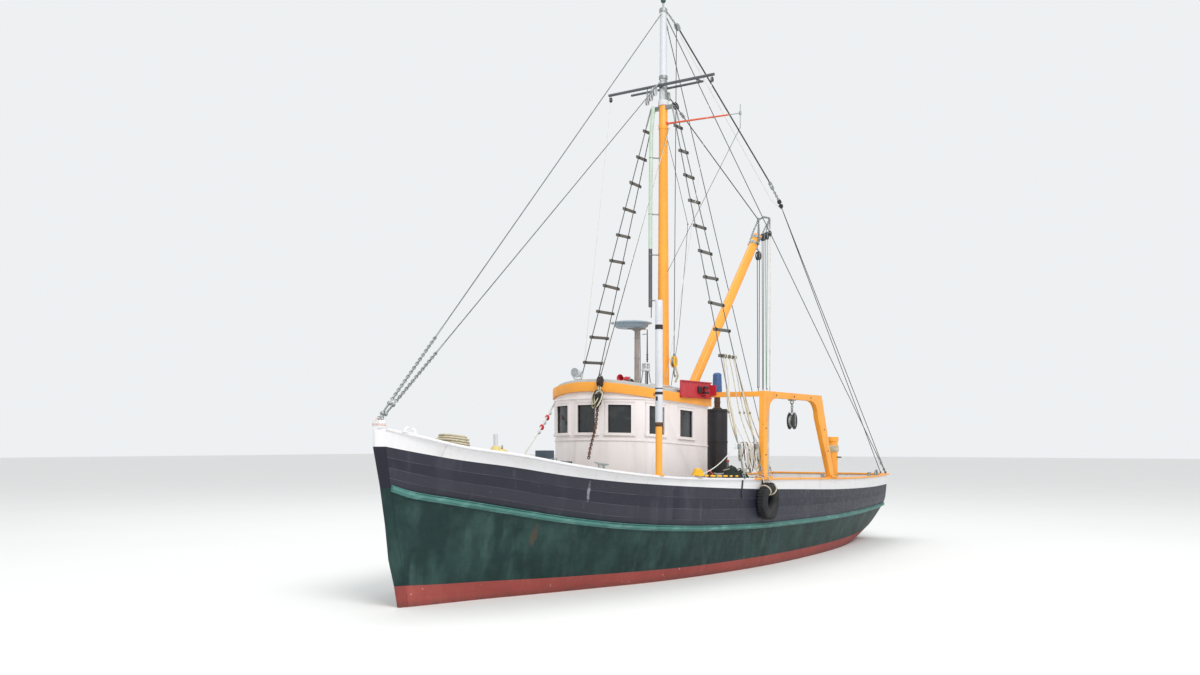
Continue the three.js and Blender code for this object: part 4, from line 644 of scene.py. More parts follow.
    def turnbuckle(self, low, high, size=0.012, mat=0):
        """A bottle screw between two points, with its forks."""
        low, high = Vector(low), Vector(high)
        way = (high - low).normalized()
        long = (high - low).length
        side = way.orthogonal().normalized()
        for s in (-1, 1):
            offset = side * s * size * 1.3
            self.tube([low + way * long * 0.28 + offset, low + way * long * 0.72 + offset], size * 0.42, 8,
                      mat)
        for share in (0.26, 0.74):
            middle = low + way * long * share
            self.bar(middle - way * size, middle + way * size, size * 1.8, sides=12, mat=mat)
        self.tube([low + way * long * 0.1, low + way * long * 0.45], size * 0.5, 8, mat)
        self.tube([low + way * long * 0.55, low + way * long * 0.9], size * 0.5, 8, mat)
        for end, sign in ((low, 1), (high, -1)):
            self.ring(end + way * sign * size * 1.2, side, size * 1.3, size * 0.45, 12, 6, mat)

    def piece(self, name, materials, replaces=(), body="boat", angle=38):
        mesh = bpy.data.meshes.new(name)
        mesh.from_pydata(self.verts, [], self.faces)
        materials = materials if isinstance(materials, (list, tuple)) else [materials]
        for material in materials:
            mesh.materials.append(material)
        mesh.polygons.foreach_set("material_index", self.mats)
        layer = mesh.uv_layers.new(name="UVMap")
        flat = [c for face in self.uvs for uv in face for c in uv]
        layer.data.foreach_set("uv", flat)
        return finished(mesh, name, body, replaces, angle)


def finished(mesh, name, body, replaces, angle, weld=True):
    """The mesh cleaned and smoothed, as a piece that rides one body."""
    bm = bmesh.new()
    bm.from_mesh(mesh)
    if weld:
        bmesh.ops.remove_doubles(bm, verts=bm.verts, dist=2e-5)
    bmesh.ops.dissolve_degenerate(bm, dist=1e-6, edges=bm.edges)
    bmesh.ops.recalc_face_normals(bm, faces=bm.faces)
    bm.to_mesh(mesh)
    bm.free()
    mesh.shade_smooth()
    mesh.set_sharp_from_angle(angle=radians(angle))
    obj = bpy.data.objects.new(name, mesh)
    scene.collection.objects.link(obj)
    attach(obj, body)
    if replaces:
        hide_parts(replaces)
    return obj


BODY_OF = {name: body for body, names in frame["record"]["behaviour"]["bodies"].items() for name in names}


def dressed(node, materials, pick=None, edge=0.004, split=(), keep=None):
    """The CAD node's own shape with rounded edges and its materials. pick gives a face's material by its
    middle and its normal; split cuts the mesh at some heights first; keep tells by a face's middle whether
    it stays, because another piece is the detailed form of what goes."""
    source = frame["nodes"][node].data
    bm = bmesh.new()
    bm.from_mesh(source)
    bmesh.ops.remove_doubles(bm, verts=bm.verts, dist=5e-5)
    bmesh.ops.dissolve_limit(bm, angle_limit=radians(0.6), verts=bm.verts, edges=bm.edges)
    for layer in list(bm.loops.layers.uv):
        bm.loops.layers.uv.remove(layer)
    if keep:
        gone = [face for face in bm.faces if not keep(face.calc_center_median())]
        bmesh.ops.delete(bm, geom=gone, context="FACES")
    if edge:
        sharp = [e for e in bm.edges if e.is_manifold and e.calc_face_angle(0) > radians(30)]
        bmesh.ops.bevel(bm, geom=sharp, offset=edge, segments=2, affect="EDGES", profile=0.6,
                        clamp_overlap=True)
    for height in split:
        bmesh.ops.bisect_plane(bm, geom=bm.verts[:] + bm.edges[:] + bm.faces[:], plane_co=(0, 0, height),
                               plane_no=UP)
    mesh = bpy.data.meshes.new(node + "_dressed")
    materials = materials if isinstance(materials, (list, tuple)) else [materials]
    for material in materials:
        mesh.materials.append(material)
    bm.normal_update()
    for face in bm.faces:
        face.material_index = pick(face.calc_center_median(), face.normal) if pick else 0
    bm.to_mesh(mesh)
    bm.free()
    return finished(mesh, node + "_dressed", BODY_OF[node], node, 38, weld=False)


# The hull's lines, as in the model: millimetres aft of the stem, then each level's half breadth and height

LINES = [
    [0, [430, 2185], [330, 1978], [245, 1585], [190, 1450], [75, 275], [66, 0], None, None, None],
    [500, [700, 2062], [590, 1882], [480, 1475], [400, 1350], [215, 262], [180, 0], [66, -420], None, None],
    [1200, [1035, 1955], [910, 1782], [790, 1345], [695, 1215], [450, 247], [375, 0], [175, -440],
     [68, -790], None],
    [2000, [1315, 1818], [1200, 1655], [1090, 1195], [1005, 1065], [745, 225], [655, 0], [385, -445],
     [135, -830], [65, -960]],
    [3000, [1540, 1690], [1450, 1545], [1385, 1052], [1310, 922], [1065, 205], [985, 0], [700, -450],
     [320, -850], [65, -1010]],
    [4000, [1690, 1605], [1645, 1470], [1615, 962], [1560, 832], [1355, 190], [1290, 0], [1000, -455],
     [540, -870], [65, -1040]],
    [5000, [1795, 1560], [1770, 1410], [1760, 902], [1720, 772], [1560, 182], [1495, 0], [1215, -460],
     [715, -885], [65, -1060]],
    [6500, [1875, 1520], [1860, 1338], [1855, 852], [1830, 722], [1715, 180], [1665, 0], [1400, -465],
     [860, -900], [65, -1085]],
    [8000, [1885, 1490], [1872, 1285], [1870, 828], [1855, 698], [1755, 180], [1705, 0], [1440, -465],
     [890, -905], [65, -1100]],
    [10000, [1820, 1440], [1810, 1215], [1805, 815], [1790, 685], [1660, 185], [1590, 0], [1270, -430],
     [660, -850], [65, -1060]],
    [11500, [1710, 1415], [1700, 1185], [1692, 825], [1665, 695], [1485, 195], [1380, 0], [960, -330],
     [380, -690], [65, -900]],
    [12900, [1560, 1410], [1545, 1175], [1530, 845], [1480, 715], [1225, 215], [1080, 60], [600, -170],
     [230, -370], [65, -520]],
]
STEM_ENDS = [(-290, 65, 2290), (-290, 65, 2055), (-225, 65, 1660), (-200, 65, 1530), (50, 65, 280),
             (120, 65, 0), (330, 65, -430), (720, 65, -770), (1120, 65, -920)]
TRANSOM_ENDS = [(13950, 1425, 1430), (13915, 1405, 1190), (13860, 1385, 870), (13840, 1335, 740),
                (13760, 1010, 240), (13740, 840, 130), (13720, 560, 20), (13700, 280, -70),
                (13690, 65, -120)]
RAIL, STRAKE, DECK, GUARD, BOOT, RABBET = 0, 1, 2, 3, 4, 8


def centripetal(points, t):
    """A point on the smooth curve through points, t from 0 to 1."""
    last = len(points) - 1
    place = last * t
    i = min(int(place), last - 1)
    w = place - i
    p1, p2 = points[i], points[i + 1]
    p0 = points[i - 1] if i else points[0] * 2 - points[1]
    p3 = points[i + 2] if i + 2 <= last else points[last] * 2 - points[last - 1]
    d0, d1, d2 = ((b - a).length_squared ** 0.25 for a, b in ((p0, p1), (p1, p2), (p2, p3)))
    t1 = ((p1 - p0) / d0 - (p2 - p0) / (d0 + d1) + (p2 - p1) / d1) * d1
    t2 = ((p2 - p1) / d1 - (p3 - p1) / (d1 + d2) + (p3 - p2) / d2) * d1
    return p1 + t1 * w + (p1 * -3 + p2 * 3 - t1 * 2 - t2) * w * w + (p1 * 2 - p2 * 2 + t1 + t2) * w ** 3


def by_length(points, shares):
    """Points on that curve at shares of its length."""
    fine = [centripetal(points, t) for t in parts(200)]
    far = [0.0]
    for a, b in zip(fine, fine[1:]):
        far.append(far[-1] + (b - a).length)
    found, k = [], 0
    for share in shares:
        goal = share * far[-1]
        while k < 199 and far[k + 1] < goal:
            k += 1
        w = (goal - far[k]) / (far[k + 1] - far[k])
        found.append(centripetal(points, (k + min(w, 1)) / 200))
    return found


BREAK = 9
STATIONS = 21
FINE = 4
BREAK_SHARE = (4100 + 290) / (13950 + 290)
coarse = []
for k in range(STATIONS + 1):
    if k <= BREAK:
        coarse.append(BREAK_SHARE * (k / BREAK) ** 1.35)
    else:
        coarse.append(BREAK_SHARE + (1 - BREAK_SHARE) * (k - BREAK) / (STATIONS - BREAK))
shares = [coarse[k // FINE] + (coarse[min(k // FINE + 1, STATIONS)] - coarse[k // FINE]) * (k % FINE) / FINE
          for k in range(STATIONS * FINE + 1)]
LAST = len(shares) - 1
level_points = []
for j in range(9):
    row = [vec(6730 - STEM_ENDS[j][0], STEM_ENDS[j][1], STEM_ENDS[j][2]) / 1000]
    for line in LINES:
        if line[j + 1] is not None and line[0] >= STEM_ENDS[j][0] + 200:
            row.append(vec(6730 - line[0], line[j + 1][0], line[j + 1][1]) / 1000)
    row.append(vec(6730 - TRANSOM_ENDS[j][0], TRANSOM_ENDS[j][1], TRANSOM_ENDS[j][2]) / 1000)
    level_points.append(by_length(row, shares))
sections = [[level_points[j][k] for j in range(9)] for k in range(LAST + 1)]


def hull(k, level):
    """A point of the port side at a station and a level, 0 the rail and 8 the keel."""
    return centripetal(sections[k], level / 8)


def hull_at(x, level):
    """The port side's point at a level, by its place along the boat."""
    for k in range(LAST):
        a, b = hull(k, level), hull(k + 1, level)
        if a.x >= x >= b.x:
            return a.lerp(b, (a.x - x) / (a.x - b.x))
    return hull(LAST if x < 0 else 0, level)


def flip(p):
    """The same place on the other side of the boat."""
    return vec(p.x, -p.y, p.z)


def levels_between(upper, lower, count):
    return [upper + (lower - upper) * i / count for i in range(count + 1)]


def plank_rows(k, levels, first_plank, total):
    """Each level's plank number at a station: total planks from the first level to the last."""
    fine = [hull(k, v) for v in levels]
    far = [0.0]
    for a, b in zip(fine, fine[1:]):
        far.append(far[-1] + (b - a).length)
    return [first_plank + total * f / far[-1] for f in far]


def cut(obj, x, way, cap=False):
    """Takes away what lies beyond x, and closes the opening if asked."""
    bm = bmesh.new()
    bm.from_mesh(obj.data)
    found = bmesh.ops.bisect_plane(bm, geom=bm.verts[:] + bm.edges[:] + bm.faces[:], plane_co=(x, 0, 0),
                                   plane_no=(way, 0, 0), clear_outer=True)
    if cap:
        bmesh.ops.contextual_create(bm, geom=[e for e in found["geom_cut"]
                                              if isinstance(e, bmesh.types.BMEdge)])
    bm.to_mesh(obj.data)
    bm.free()


def quads(pile, rows, marks, mat=0):
    """A skin over rows of points; a face's second UV is its plank number."""
    for k in range(len(rows) - 1):
        for i in range(len(rows[0]) - 1):
            ring = [(k, i), (k, i + 1), (k + 1, i + 1), (k + 1, i)]
            uv = [(rows[a][b].x, marks[a][b]) for a, b in ring]
            pile.put([rows[a][b] for a, b in ring], [[0, 1, 2, 3]], mat, [uv])


def hull_skin(name, upper, lower, count, first_plank, planks, material, replaces, x_min=None):
    """Planking between two levels on both sides, and its part of the transom where it runs that far."""
    levels = levels_between(upper, lower, count)
    pile = Pile()
    rows = [[hull(k, v) for v in levels] for k in range(LAST + 1)]
    marks = [plank_rows(k, levels, first_plank, planks) for k in range(LAST + 1)]
    quads(pile, rows, marks)
    quads(pile, [[flip(p) for p in row] for row in rows], marks)
    if x_min is None:
        steps = 12
        for i in range(count):
            for s in range(steps):
                shares = (1 - 2 * s / steps, 1 - 2 * (s + 1) / steps)
                verts = [vec(rows[LAST][j].x, rows[LAST][j].y * shares[s], rows[LAST][j].z)
                         for j, s in ((i, 0), (i, 1), (i + 1, 1), (i + 1, 0))]
                uv = [(v.y, marks[LAST][j]) for v, j in zip(verts, (i, i, i + 1, i + 1))]
                pile.put(verts, [[0, 1, 2, 3]], 0, [uv])
    obj = pile.piece(name, material, replaces)
    if x_min is not None:
        cut(obj, x_min, -1)


BREAK_X = 2.63
hull_skin("bottom_planking", BOOT, RABBET, 20, 0, 12, red_bottom, "hull_bottom")
hull_skin("topside_planking", GUARD, BOOT, 12, 0, 8, green, "hull_topsides")
hull_skin("sheer_planking", DECK, GUARD, 3, 3, 1, navy, "sheer_strakes")
hull_skin("forecastle_planking", STRAKE, DECK, 6, 0, 3, navy, "forecastle", BREAK_X)

# Covering board that closes the bow ahead of the foredeck
pile = Pile()
deck_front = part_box("foredeck")[1][0]
rows = [hull(k, STRAKE) for k in range(LAST) if hull(k, STRAKE).x > deck_front]
rows.append(hull_at(deck_front - 0.06, STRAKE))
for a, b in zip(rows, rows[1:]):
    ring = []
    for p in (a, b):
        side = max(p.y - 0.012, 0.004)
        ring += [(p.x, side, p.z + 0.033), (p.x, -side, p.z + 0.033), (p.x, -side, p.z - 0.02),
                 (p.x, side, p.z - 0.02)]
    pile.put(ring, [[i, (i + 1) % 4, 4 + (i + 1) % 4, 4 + i] for i in range(4)]
             + [[0, 1, 2, 3], [7, 6, 5, 4]], 0)
pile.piece("bow_covering_board", deck_wood)

# Bulkhead under the foredeck's after end, with battens and a moulding along its head
pile = Pile()
outline = [hull_at(BREAK_X + 0.01, v) for v in levels_between(STRAKE, DECK, 6)]
ring = [vec(BREAK_X + 0.004, p.y - 0.014, p.z) for p in outline]
ring += [flip(v) for v in reversed(ring)]
pile.loft([ring, [v + vec(0.02, 0, 0) for v in ring]])
head, foot = outline[0], outline[-1]
for y in [0.19 * k for k in range(-8, 9)]:
    if abs(y) < foot.y - 0.04:
        pile.box((BREAK_X - 0.004, y - 0.014, foot.z), (BREAK_X + 0.006, y + 0.014, head.z - 0.03), 0,
                 0.003)
pile.box((BREAK_X - 0.014, 0.05 - head.y, head.z - 0.075), (BREAK_X + 0.006, head.y - 0.05, head.z - 0.01),
         0, 0.005)
pile.piece("break_bulkhead", white_band)


def side_wall(name, side, upper, lower, count, first_k, thick, top_drop, materials, replaces,
              planks=(0, 3)):
    """A wall that follows the ship's side, planked outside, with its lining inside."""
    levels = levels_between(upper, lower, count)
    pile = Pile()
    outer, inner, marks = [], [], []
    for k in range(first_k, LAST + 1):
        row = [hull(k, v) for v in levels]
        row[0] = row[0] - vec(0, 0, top_drop)
        outer.append(row)
        inner.append([vec(p.x, max(p.y - thick, 0.008), p.z) for p in row])
        marks.append(plank_rows(k, levels, *planks))
    if side < 0:
        outer, inner = ([[flip(p) for p in row] for row in rows] for rows in (outer, inner))
    quads(pile, outer, marks)
    quads(pile, inner, marks, 1)
    for k in range(len(outer) - 1):
        for i in (0, count):
            pile.put([outer[k][i], outer[k + 1][i], inner[k + 1][i], inner[k][i]], [[0, 1, 2, 3]], 1)
    for k in (0, -1):
        for i in range(count):
            pile.put([outer[k][i], outer[k][i + 1], inner[k][i + 1], inner[k][i]], [[0, 1, 2, 3]])
    return pile.piece(name, materials, replaces)


for word, sign in SIDES:
    wall = side_wall("bulwark_planking_" + word, sign, STRAKE, DECK, 6, (BREAK - 2) * FINE, 0.06, 0,
                     [navy, white_band], "bulwark_" + word)
    cut(wall, BREAK_X, 1, cap=True)
    side_wall("rail_strake_" + word, sign, RAIL, STRAKE, 4, 0, 0.06, 0.036, [white_band, white_band],
              "rail_band_" + word, planks=(0, 0.98))
dressed("bulwark_transom", [navy, white_band], lambda p, n: 1 if n.x > 0.5 else 0, 0.003)
dressed("rail_band_transom", [white_band], None, 0.003)

# Caps along the rails


def cap_rail(name, side, first_k, last_k, material, replaces):
    """A rail cap with a rounded section."""
    pile = Pile()
    rings = []
    for k in range(first_k, last_k + 1):
        p = hull(k, RAIL)
        out, into = p.y + 0.026, max(p.y - 0.086, 0.008)
        r = min(0.013, (out - into) * 0.2)
        shape = []
        for cy, cz, start in ((out - r, p.z - r, 0), (into + r, p.z - r, 90),
                              (into + r, p.z - 0.036 + r, 180), (out - r, p.z - 0.036 + r, 270)):
            for step in (0, 45, 90):
                t = radians(start + step)
                shape.append(vec(p.x, (cy + r * cos(t)) * side, cz + r * sin(t)))
        rings.append(shape)
    pile.loft(rings)
    pile.piece(name, material, replaces)


CAP_FIRST = 12 * FINE
for word, sign in SIDES:
    cap_rail("fore_cap_" + word, sign, 0, CAP_FIRST, white_band, f"rail_band_{word}")
    cap_rail("aft_cap_" + word, sign, CAP_FIRST, LAST, orange, f"cap_rail_{word}_aft")
dressed("cap_rail_transom", orange, None, 0.008)

# Guard rails


def guard_rail(side, name, replaces):
    """A timber along the side, with a half-round strip on its face."""
    pile = Pile()
    rings = []
    for k in range(LAST + 1):
        middle, above, below = hull(k, GUARD), hull(k, DECK), hull(k, 3.35)
        up = middle.lerp(above, 0.046 / (above.z - middle.z))
        down = middle.lerp(below, 0.046 / (middle.z - below.z))
        x = middle.x
        shape = [(down.y - 0.02, down.z), (down.y + 0.024, down.z + 0.004),
                 (down.y + 0.033, down.z + 0.014), (middle.y + 0.034, middle.z - 0.022),
                 (middle.y + 0.044, middle.z - 0.017), (middle.y + 0.048, middle.z),
                 (middle.y + 0.044, middle.z + 0.017), (middle.y + 0.034, middle.z + 0.022),
                 (up.y + 0.033, up.z - 0.014), (up.y + 0.024, up.z - 0.004), (up.y - 0.02, up.z)]
        rings.append([vec(x, side * y, z) for y, z in shape])
    pile.loft(rings, closed=False)
    pile.piece(name, teal, replaces, angle=30)


guard_rail(1, "rubbing_strake_port", "guard_port")
guard_rail(-1, "rubbing_strake_starboard", "guard_starboard")


STEM_BANDS = (2.055, 1.53, 0.28)


def stem_colour(p, n):
    """White, navy darkened as painted shade, green and red down the stem; the keel is red all along."""
    return sum(p.z <= height for height in STEM_BANDS) if p.x > 5.2 else 3


dressed("keel_and_stem", [white_band, navy_stem_painted_shade, green, red_bottom], stem_colour, 0.006, split=STEM_BANDS)
dressed("main_deck", [deck_wood], None, 0)
dressed("foredeck", [deck_wood], None, 0)

# Wheelhouse


def slope(x):
    """How much higher the roof and the windows are here than at the house's middle."""
    return 0.045 * (x - 1.33)


def house_outline(grow):
    """The house's front and sides seen from above, so far outside its wall."""
    port = [Vector((1.93 + (0.6 + grow) * cos(pi / 2 * t), (0.95 + grow) * sin(pi / 2 * t)))
            for t in parts(60)]
    port.append(Vector((0.28, 0.95 + grow)))
    return [Vector((p.x, -p.y)) for p in port[::-1]] + port[1:]


class Window:
    """One window's middle, width and facing, and points on the wall round it."""

    def __init__(self, x, y, wide, turn):
        self.middle = Vector((x, y))
        self.wide = wide
        self.way = Vector((-sin(turn), cos(turn)))

    def at(self, t, grow):
        points = house_outline(grow)
        best = None
        for a, b in zip(points, points[1:]):
            da, db = (a - self.middle).dot(self.way) - t, (b - self.middle).dot(self.way) - t
            if da == db or da * db > 0:
                continue
            p = a.lerp(b, da / (da - db))
            if best is None or (p - self.middle).length < (best - self.middle).length:
                best = p
        return best

    def bar(self, pile, t0, t1, z0, z1, low, high, mat=0, steps=6):
        """A bar on the wall: along t, between two heights and two distances from the wall."""
        rings = []
        for i in range(steps + 1):
            t = t0 + (t1 - t0) * i / steps
            a, b = self.at(t, low), self.at(t, high)
            rings.append([vec(a.x, a.y, z0 + slope(a.x)), vec(b.x, b.y, z0 + slope(b.x)),
                          vec(b.x, b.y, z1 + slope(b.x)), vec(a.x, a.y, z1 + slope(a.x))])
        pile.loft(rings, mat)


WINDOW_Z, WINDOW_HALF = 2.43, 0.2225
windows = {
    "front_middle": Window(2.53, 0, 0.345, 0), "front_port": Window(2.408, 0.552, 0.372, 0.47),
    "front_starboard": Window(2.408, -0.552, 0.372, -0.47),
    "port_fore": Window(1.918, 0.95, 0.4, pi / 2), "port_aft": Window(1.015, 0.95, 0.43, pi / 2),
    "starboard_fore": Window(1.918, -0.95, 0.4, -pi / 2),
    "starboard_aft": Window(1.015, -0.95, 0.43, -pi / 2),
}
for name, window in windows.items():
    low, high = WINDOW_Z - WINDOW_HALF, WINDOW_Z + WINDOW_HALF
    half = window.wide / 2
    frame_pile = Pile()
    window.bar(frame_pile, -half - 0.045, half + 0.045, high - 0.004, high + 0.042, -0.004, 0.014)
    window.bar(frame_pile, -half - 0.052, half + 0.052, high + 0.042, high + 0.054, -0.004, 0.026)
    window.bar(frame_pile, -half - 0.045, -half + 0.004, low, high, -0.004, 0.0135)
    window.bar(frame_pile, half - 0.004, half + 0.045, low, high, -0.004, 0.0135)
    window.bar(frame_pile, -half - 0.06, half + 0.06, low - 0.04, low + 0.003, -0.004, 0.03)
    for t in (-half + 0.001, half - 0.017):
        window.bar(frame_pile, t, t + 0.016, low, high, -0.045, -0.012, 1)
    window.bar(frame_pile, -half, half, low, low + 0.016, -0.045, -0.012, 1)
    window.bar(frame_pile, -half, half, high - 0.016, high, -0.045, -0.012, 1)
    frame_pile.piece("window_frame_" + name, [house_white, dark], angle=30)
    glass_pile = Pile()
    window.bar(glass_pile, -half + 0.004, half - 0.004, low + 0.004, high - 0.004, -0.03, -0.025, 0, 8)
    glass_pile.piece("window_pane_" + name, pane)

for node in ("wheelhouse_front", "wheelhouse_port", "wheelhouse_starboard", "wheelhouse_aft"):
    dressed(node, [house_white, lining], lambda p, n: 0, 0.003)


def house_belt(name, z0, z1, low, high, material):
    """A moulding right round the house's front and sides."""
    inner, outer = house_outline(low), house_outline(high)
    rings = [[vec(a.x, a.y, z0 + slope(a.x)), vec(b.x, b.y, z0 + slope(b.x)),
              vec(b.x, b.y, z1 + slope(b.x)), vec(a.x, a.y, z1 + slope(a.x))]
             for a, b in zip(inner, outer)]
    pile = Pile()
    pile.loft(rings)
    pile.piece(name, material, angle=30)


house_belt("house_belt_moulding", 2.085, 2.103, -0.004, 0.011, house_white)
house_belt("house_eave_moulding", 2.742, 2.772, -0.004, 0.018, house_white)


def roof_z(x, y):
    """The roof's top, which slopes up forward and is crowned across."""
    return 2.775 + 0.15 + 0.085 * (1 - (y / 0.95) ** 2) + slope(x)


# The middle of each roof fitting, and how far it reaches along and across
ROOF_FITTINGS = [(1.3, 0.35, 0.12, 0.09), (0.33, -0.2, 0.14, 0.13), (0.92, 0.1, 0.12, 0.04)]


def plain_roof(p):
    """Whether a face is part of the roof itself and not of a fitting that has a piece of its own."""
    if p.z < roof_z(p.x, p.y) + 0.003:
        return True
    return not any(abs(p.x - x) < along and abs(p.y - y) < aside for x, y, along, aside in ROOF_FITTINGS)


def roof_colour(p, n):
    """Grey canvas on top, paint on the edge."""
    return 1 if n.z > 0.8 or p.z > roof_z(p.x, p.y) + 0.003 else 0


dressed("wheelhouse_roof", [orange, roof_grey], roof_colour, 0.01, keep=plain_roof)


# Stage
floor_mesh = bpy.data.meshes.new("floor")
floor_mesh.from_pydata([(-150, -150, 0), (150, -150, 0), (150, 150, 0), (-150, 150, 0)], [], [(0, 1, 2, 3)])
floor_mesh.materials.append(floor_grey)
floor = bpy.data.objects.new("floor", floor_mesh)
scene.collection.objects.link(floor)

# Plain nodes keep the model's shape with rounded edges.
for node, material, edge in (("wheelhouse_door", house_white, 0.004), ("fore_hatch", hatch_paint, 0.005),
                             ("fore_hatch_lid", hatch_paint, 0.004), ("fore_vent", hatch_paint, 0.008),
                             ("yard", dark_steel, 0.002), ("gallows_port", orange, 0.006),
                             ("gallows_starboard", orange, 0.006), ("exhaust_casing", black_iron, 0.005),
                             ("exhaust_pipe", rusty, 0.002), ("stack_cap", blue, 0.004),
                             ("towing_post_port", orange, 0.006), ("towing_post_starboard", orange, 0.006),
                             ("winch_frame", grey_steel, 0.005), ("hold_hatch", cover_wood, 0.006),
                             ("hold_hatch_cover", cover_wood, 0.006), ("propeller", bronze, 0.003),
                             ("rudder", red_bottom, 0.006), ("boom", orange, 0.004),
                             ("radome", radome_blue, 0)):
    dressed(node, material, None, edge)
dressed("samson_post", [pale_yellow, galvanised, mast_white],
        lambda p, n: 1 if abs(p.y) > 0.085 else 2 if p.z > 2.058 else 0, 0.008)
dressed("radar_post", [radar_grey, galvanised], lambda p, n: 1 if p.z < 3.02 else 0, 0.003)
MAST_X = 0.15


def mast_radius(z):
    """The spar tapers from 120 mm at the deck."""
    return 0.12 - 0.046 * (z - 0.6) / 7.42


def bare_mast(p):
    """Whether a face is part of the spar, its bands, gooseneck or crosstrees."""
    if Vector((p.x - MAST_X, p.y)).length < mast_radius(p.z) + 0.013:
        return True
    return p.x < MAST_X - 0.1 and abs(p.y) < 0.05 and p.z < 2.3 or abs(p.y) < 0.21 and 7.95 < p.z < 8.02


def topmast_colour(p, n):
    """The truck is green, the bands galvanised, the rest white."""
    if p.z > 9.818:
        return 1
    return 2 if any(a < p.z < b for a, b in ((9.659, 9.817), (8.484, 8.546), (8.274, 8.396))) else 0


dressed("mast", [orange, galvanised], lambda p, n: 1 if abs(p.y) > 0.095 and 7.95 < p.z < 8.02 else 0,
        0.003, keep=bare_mast)
dressed("topmast", [mast_white, dark_green_ball, galvanised], topmast_colour, 0.004)

# Shrouds, rebuilt from the model's values: wires, rungs seized to them and bottle screws at their feet
HOUNDS = 7.985
SHROUD_FEET = (0.75, 0.07)
for word, sign in SIDES:
    pile = Pile()
    head_y = sign * 0.2123
    pair = []
    for x, shift in zip(SHROUD_FEET, (0.062, -0.062)):
        foot = vec(x, sign * 1.885, hull_at(x, RAIL).z + 0.009)
        head = vec(MAST_X + shift, head_y, HOUNDS)
        pair.append((foot, head))
        way = (head - foot).normalized()
        pile.tube([foot + way * 0.42, head], 0.009)
        pile.turnbuckle(foot + way * 0.03, foot + way * 0.42, 0.016, 1)
        pile.tube([head - way * 0.02, head - way * 0.3], 0.014, 8, 1)
        pile.tube([foot + way * 0.44, foot + way * 0.7], 0.013, 8, 1)
        if sign > 0:
            pile.tube([foot + way * 0.72, foot + way * 1.5], 0.018, 10, 4)
        pile.ring(foot + vec(0, 0, 0.004), ALONG, 0.024, 0.007, 14, 6, 1)
    for i in range(10):
        z = 3.55 + 0.45 * i
        ends = []
        for (foot, head), past in zip(pair, (0.07, -0.07)):
            p = foot.lerp(head, (z - foot.z) / (head.z - foot.z))
            ends.append(p + vec(past, 0, 0))
            for k in (-1, 0, 1):
                pile.ring(p + vec(k * 0.009, sign * 0.004, 0), ALONG, 0.024, 0.0045, 10, 5, 2)
        shake = random.uniform(-0.012, 0.012)
        pile.beam(ends[0] + vec(0, 0, shake), ends[1] - vec(0, 0, shake), 0.028, 0.052, 3, 0.006)
    pile.bar((MAST_X - 0.075, head_y, HOUNDS), (MAST_X + 0.075, head_y, HOUNDS), 0.012, mat=1)
    pile.piece("shrouds_" + word, [wire, galvanised, black_rope, rung_wood, hemp], "shroud_ladder_" + word)
    # Chain plates on the ship's side below each shroud
    plates = Pile()
    for x in SHROUD_FEET:
        points = [hull_at(x, v) + vec(0, 0.005, 0) for v in (0.02, 0.5, 1.0, 1.35)]
        if sign < 0:
            points = [flip(p) for p in points]
        for a, b in zip(points, points[1:]):
            plates.beam(a, b, 0.045, 0.01, 0, 0.002, (0, sign, 0))
        for p in points[1:]:
            plates.bolt(p + vec(0, sign * 0.005, 0.04), (0, sign, 0), 0.011)
    plates.piece("chain_plates_" + word, black_iron)

# Stays from the model's values


def stay(name, top, foot, band, node, chained=0.0):
    """A wire from a mast band to its foot, with a bottle screw and some chain at its lower end."""
    a, b = Vector(top), Vector(foot)
    way = b - a
    flat = hypot(way.x, way.y)
    start = a + way * (band + 0.0003) / flat
    unit = way.normalized()
    pile = Pile()
    end = b - unit * 0.02
    pile.tube([start, end - unit * (0.38 + chained)], 0.008)
    pile.turnbuckle(end, end - unit * 0.38, 0.016, 1)
    if chained:
        pile.chain([end - unit * 0.38, end - unit * (0.4 + chained)], 0.0085, 0.06, 1)
    pile.tube([end - unit * (0.4 + chained), end - unit * (0.62 + chained)], 0.012, 8, 1)
    pile.tube([start + unit * 0.03, start + unit * 0.25], 0.012, 8, 1)
    pile.piece(name, [wire, galvanised], node)


TRUCK = (MAST_X, 0, 9.69)
stay("forestay_wire", TRUCK, (7.1, 0, 2.385), 0.072, "forestay", chained=1.12)
stay("hounds_stay_wire", (MAST_X, 0, 8.515), (7.05, 0, 2.385), 0.078, "hounds_stay", chained=0.95)
for word, sign in SIDES:
    foot = vec(-7.15, 1.4 * sign, hull_at(-7.15, RAIL).z)
    stay("backstay_wire_" + word, TRUCK, foot, 0.072, "backstay_" + word)

# Stem head: an iron strap with the eyes that the stays go to
pile = Pile()
pile.box((7.015, -0.069, 2.315), (7.129, 0.069, 2.345), 0, 0.003)
for x in (7.1, 7.05):
    pile.ring((x, 0, 2.39), ACROSS, 0.024, 0.008, 16, 8)
for x in (7.04, 7.1):
    for sign in (1, -1):
        pile.bolt((x, sign * 0.068, 2.33), (0, sign, 0), 0.01)
pile.piece("stem_head_strap", [faded_pink])

# Chocks at the bow and on the quarters, cleats on the rails


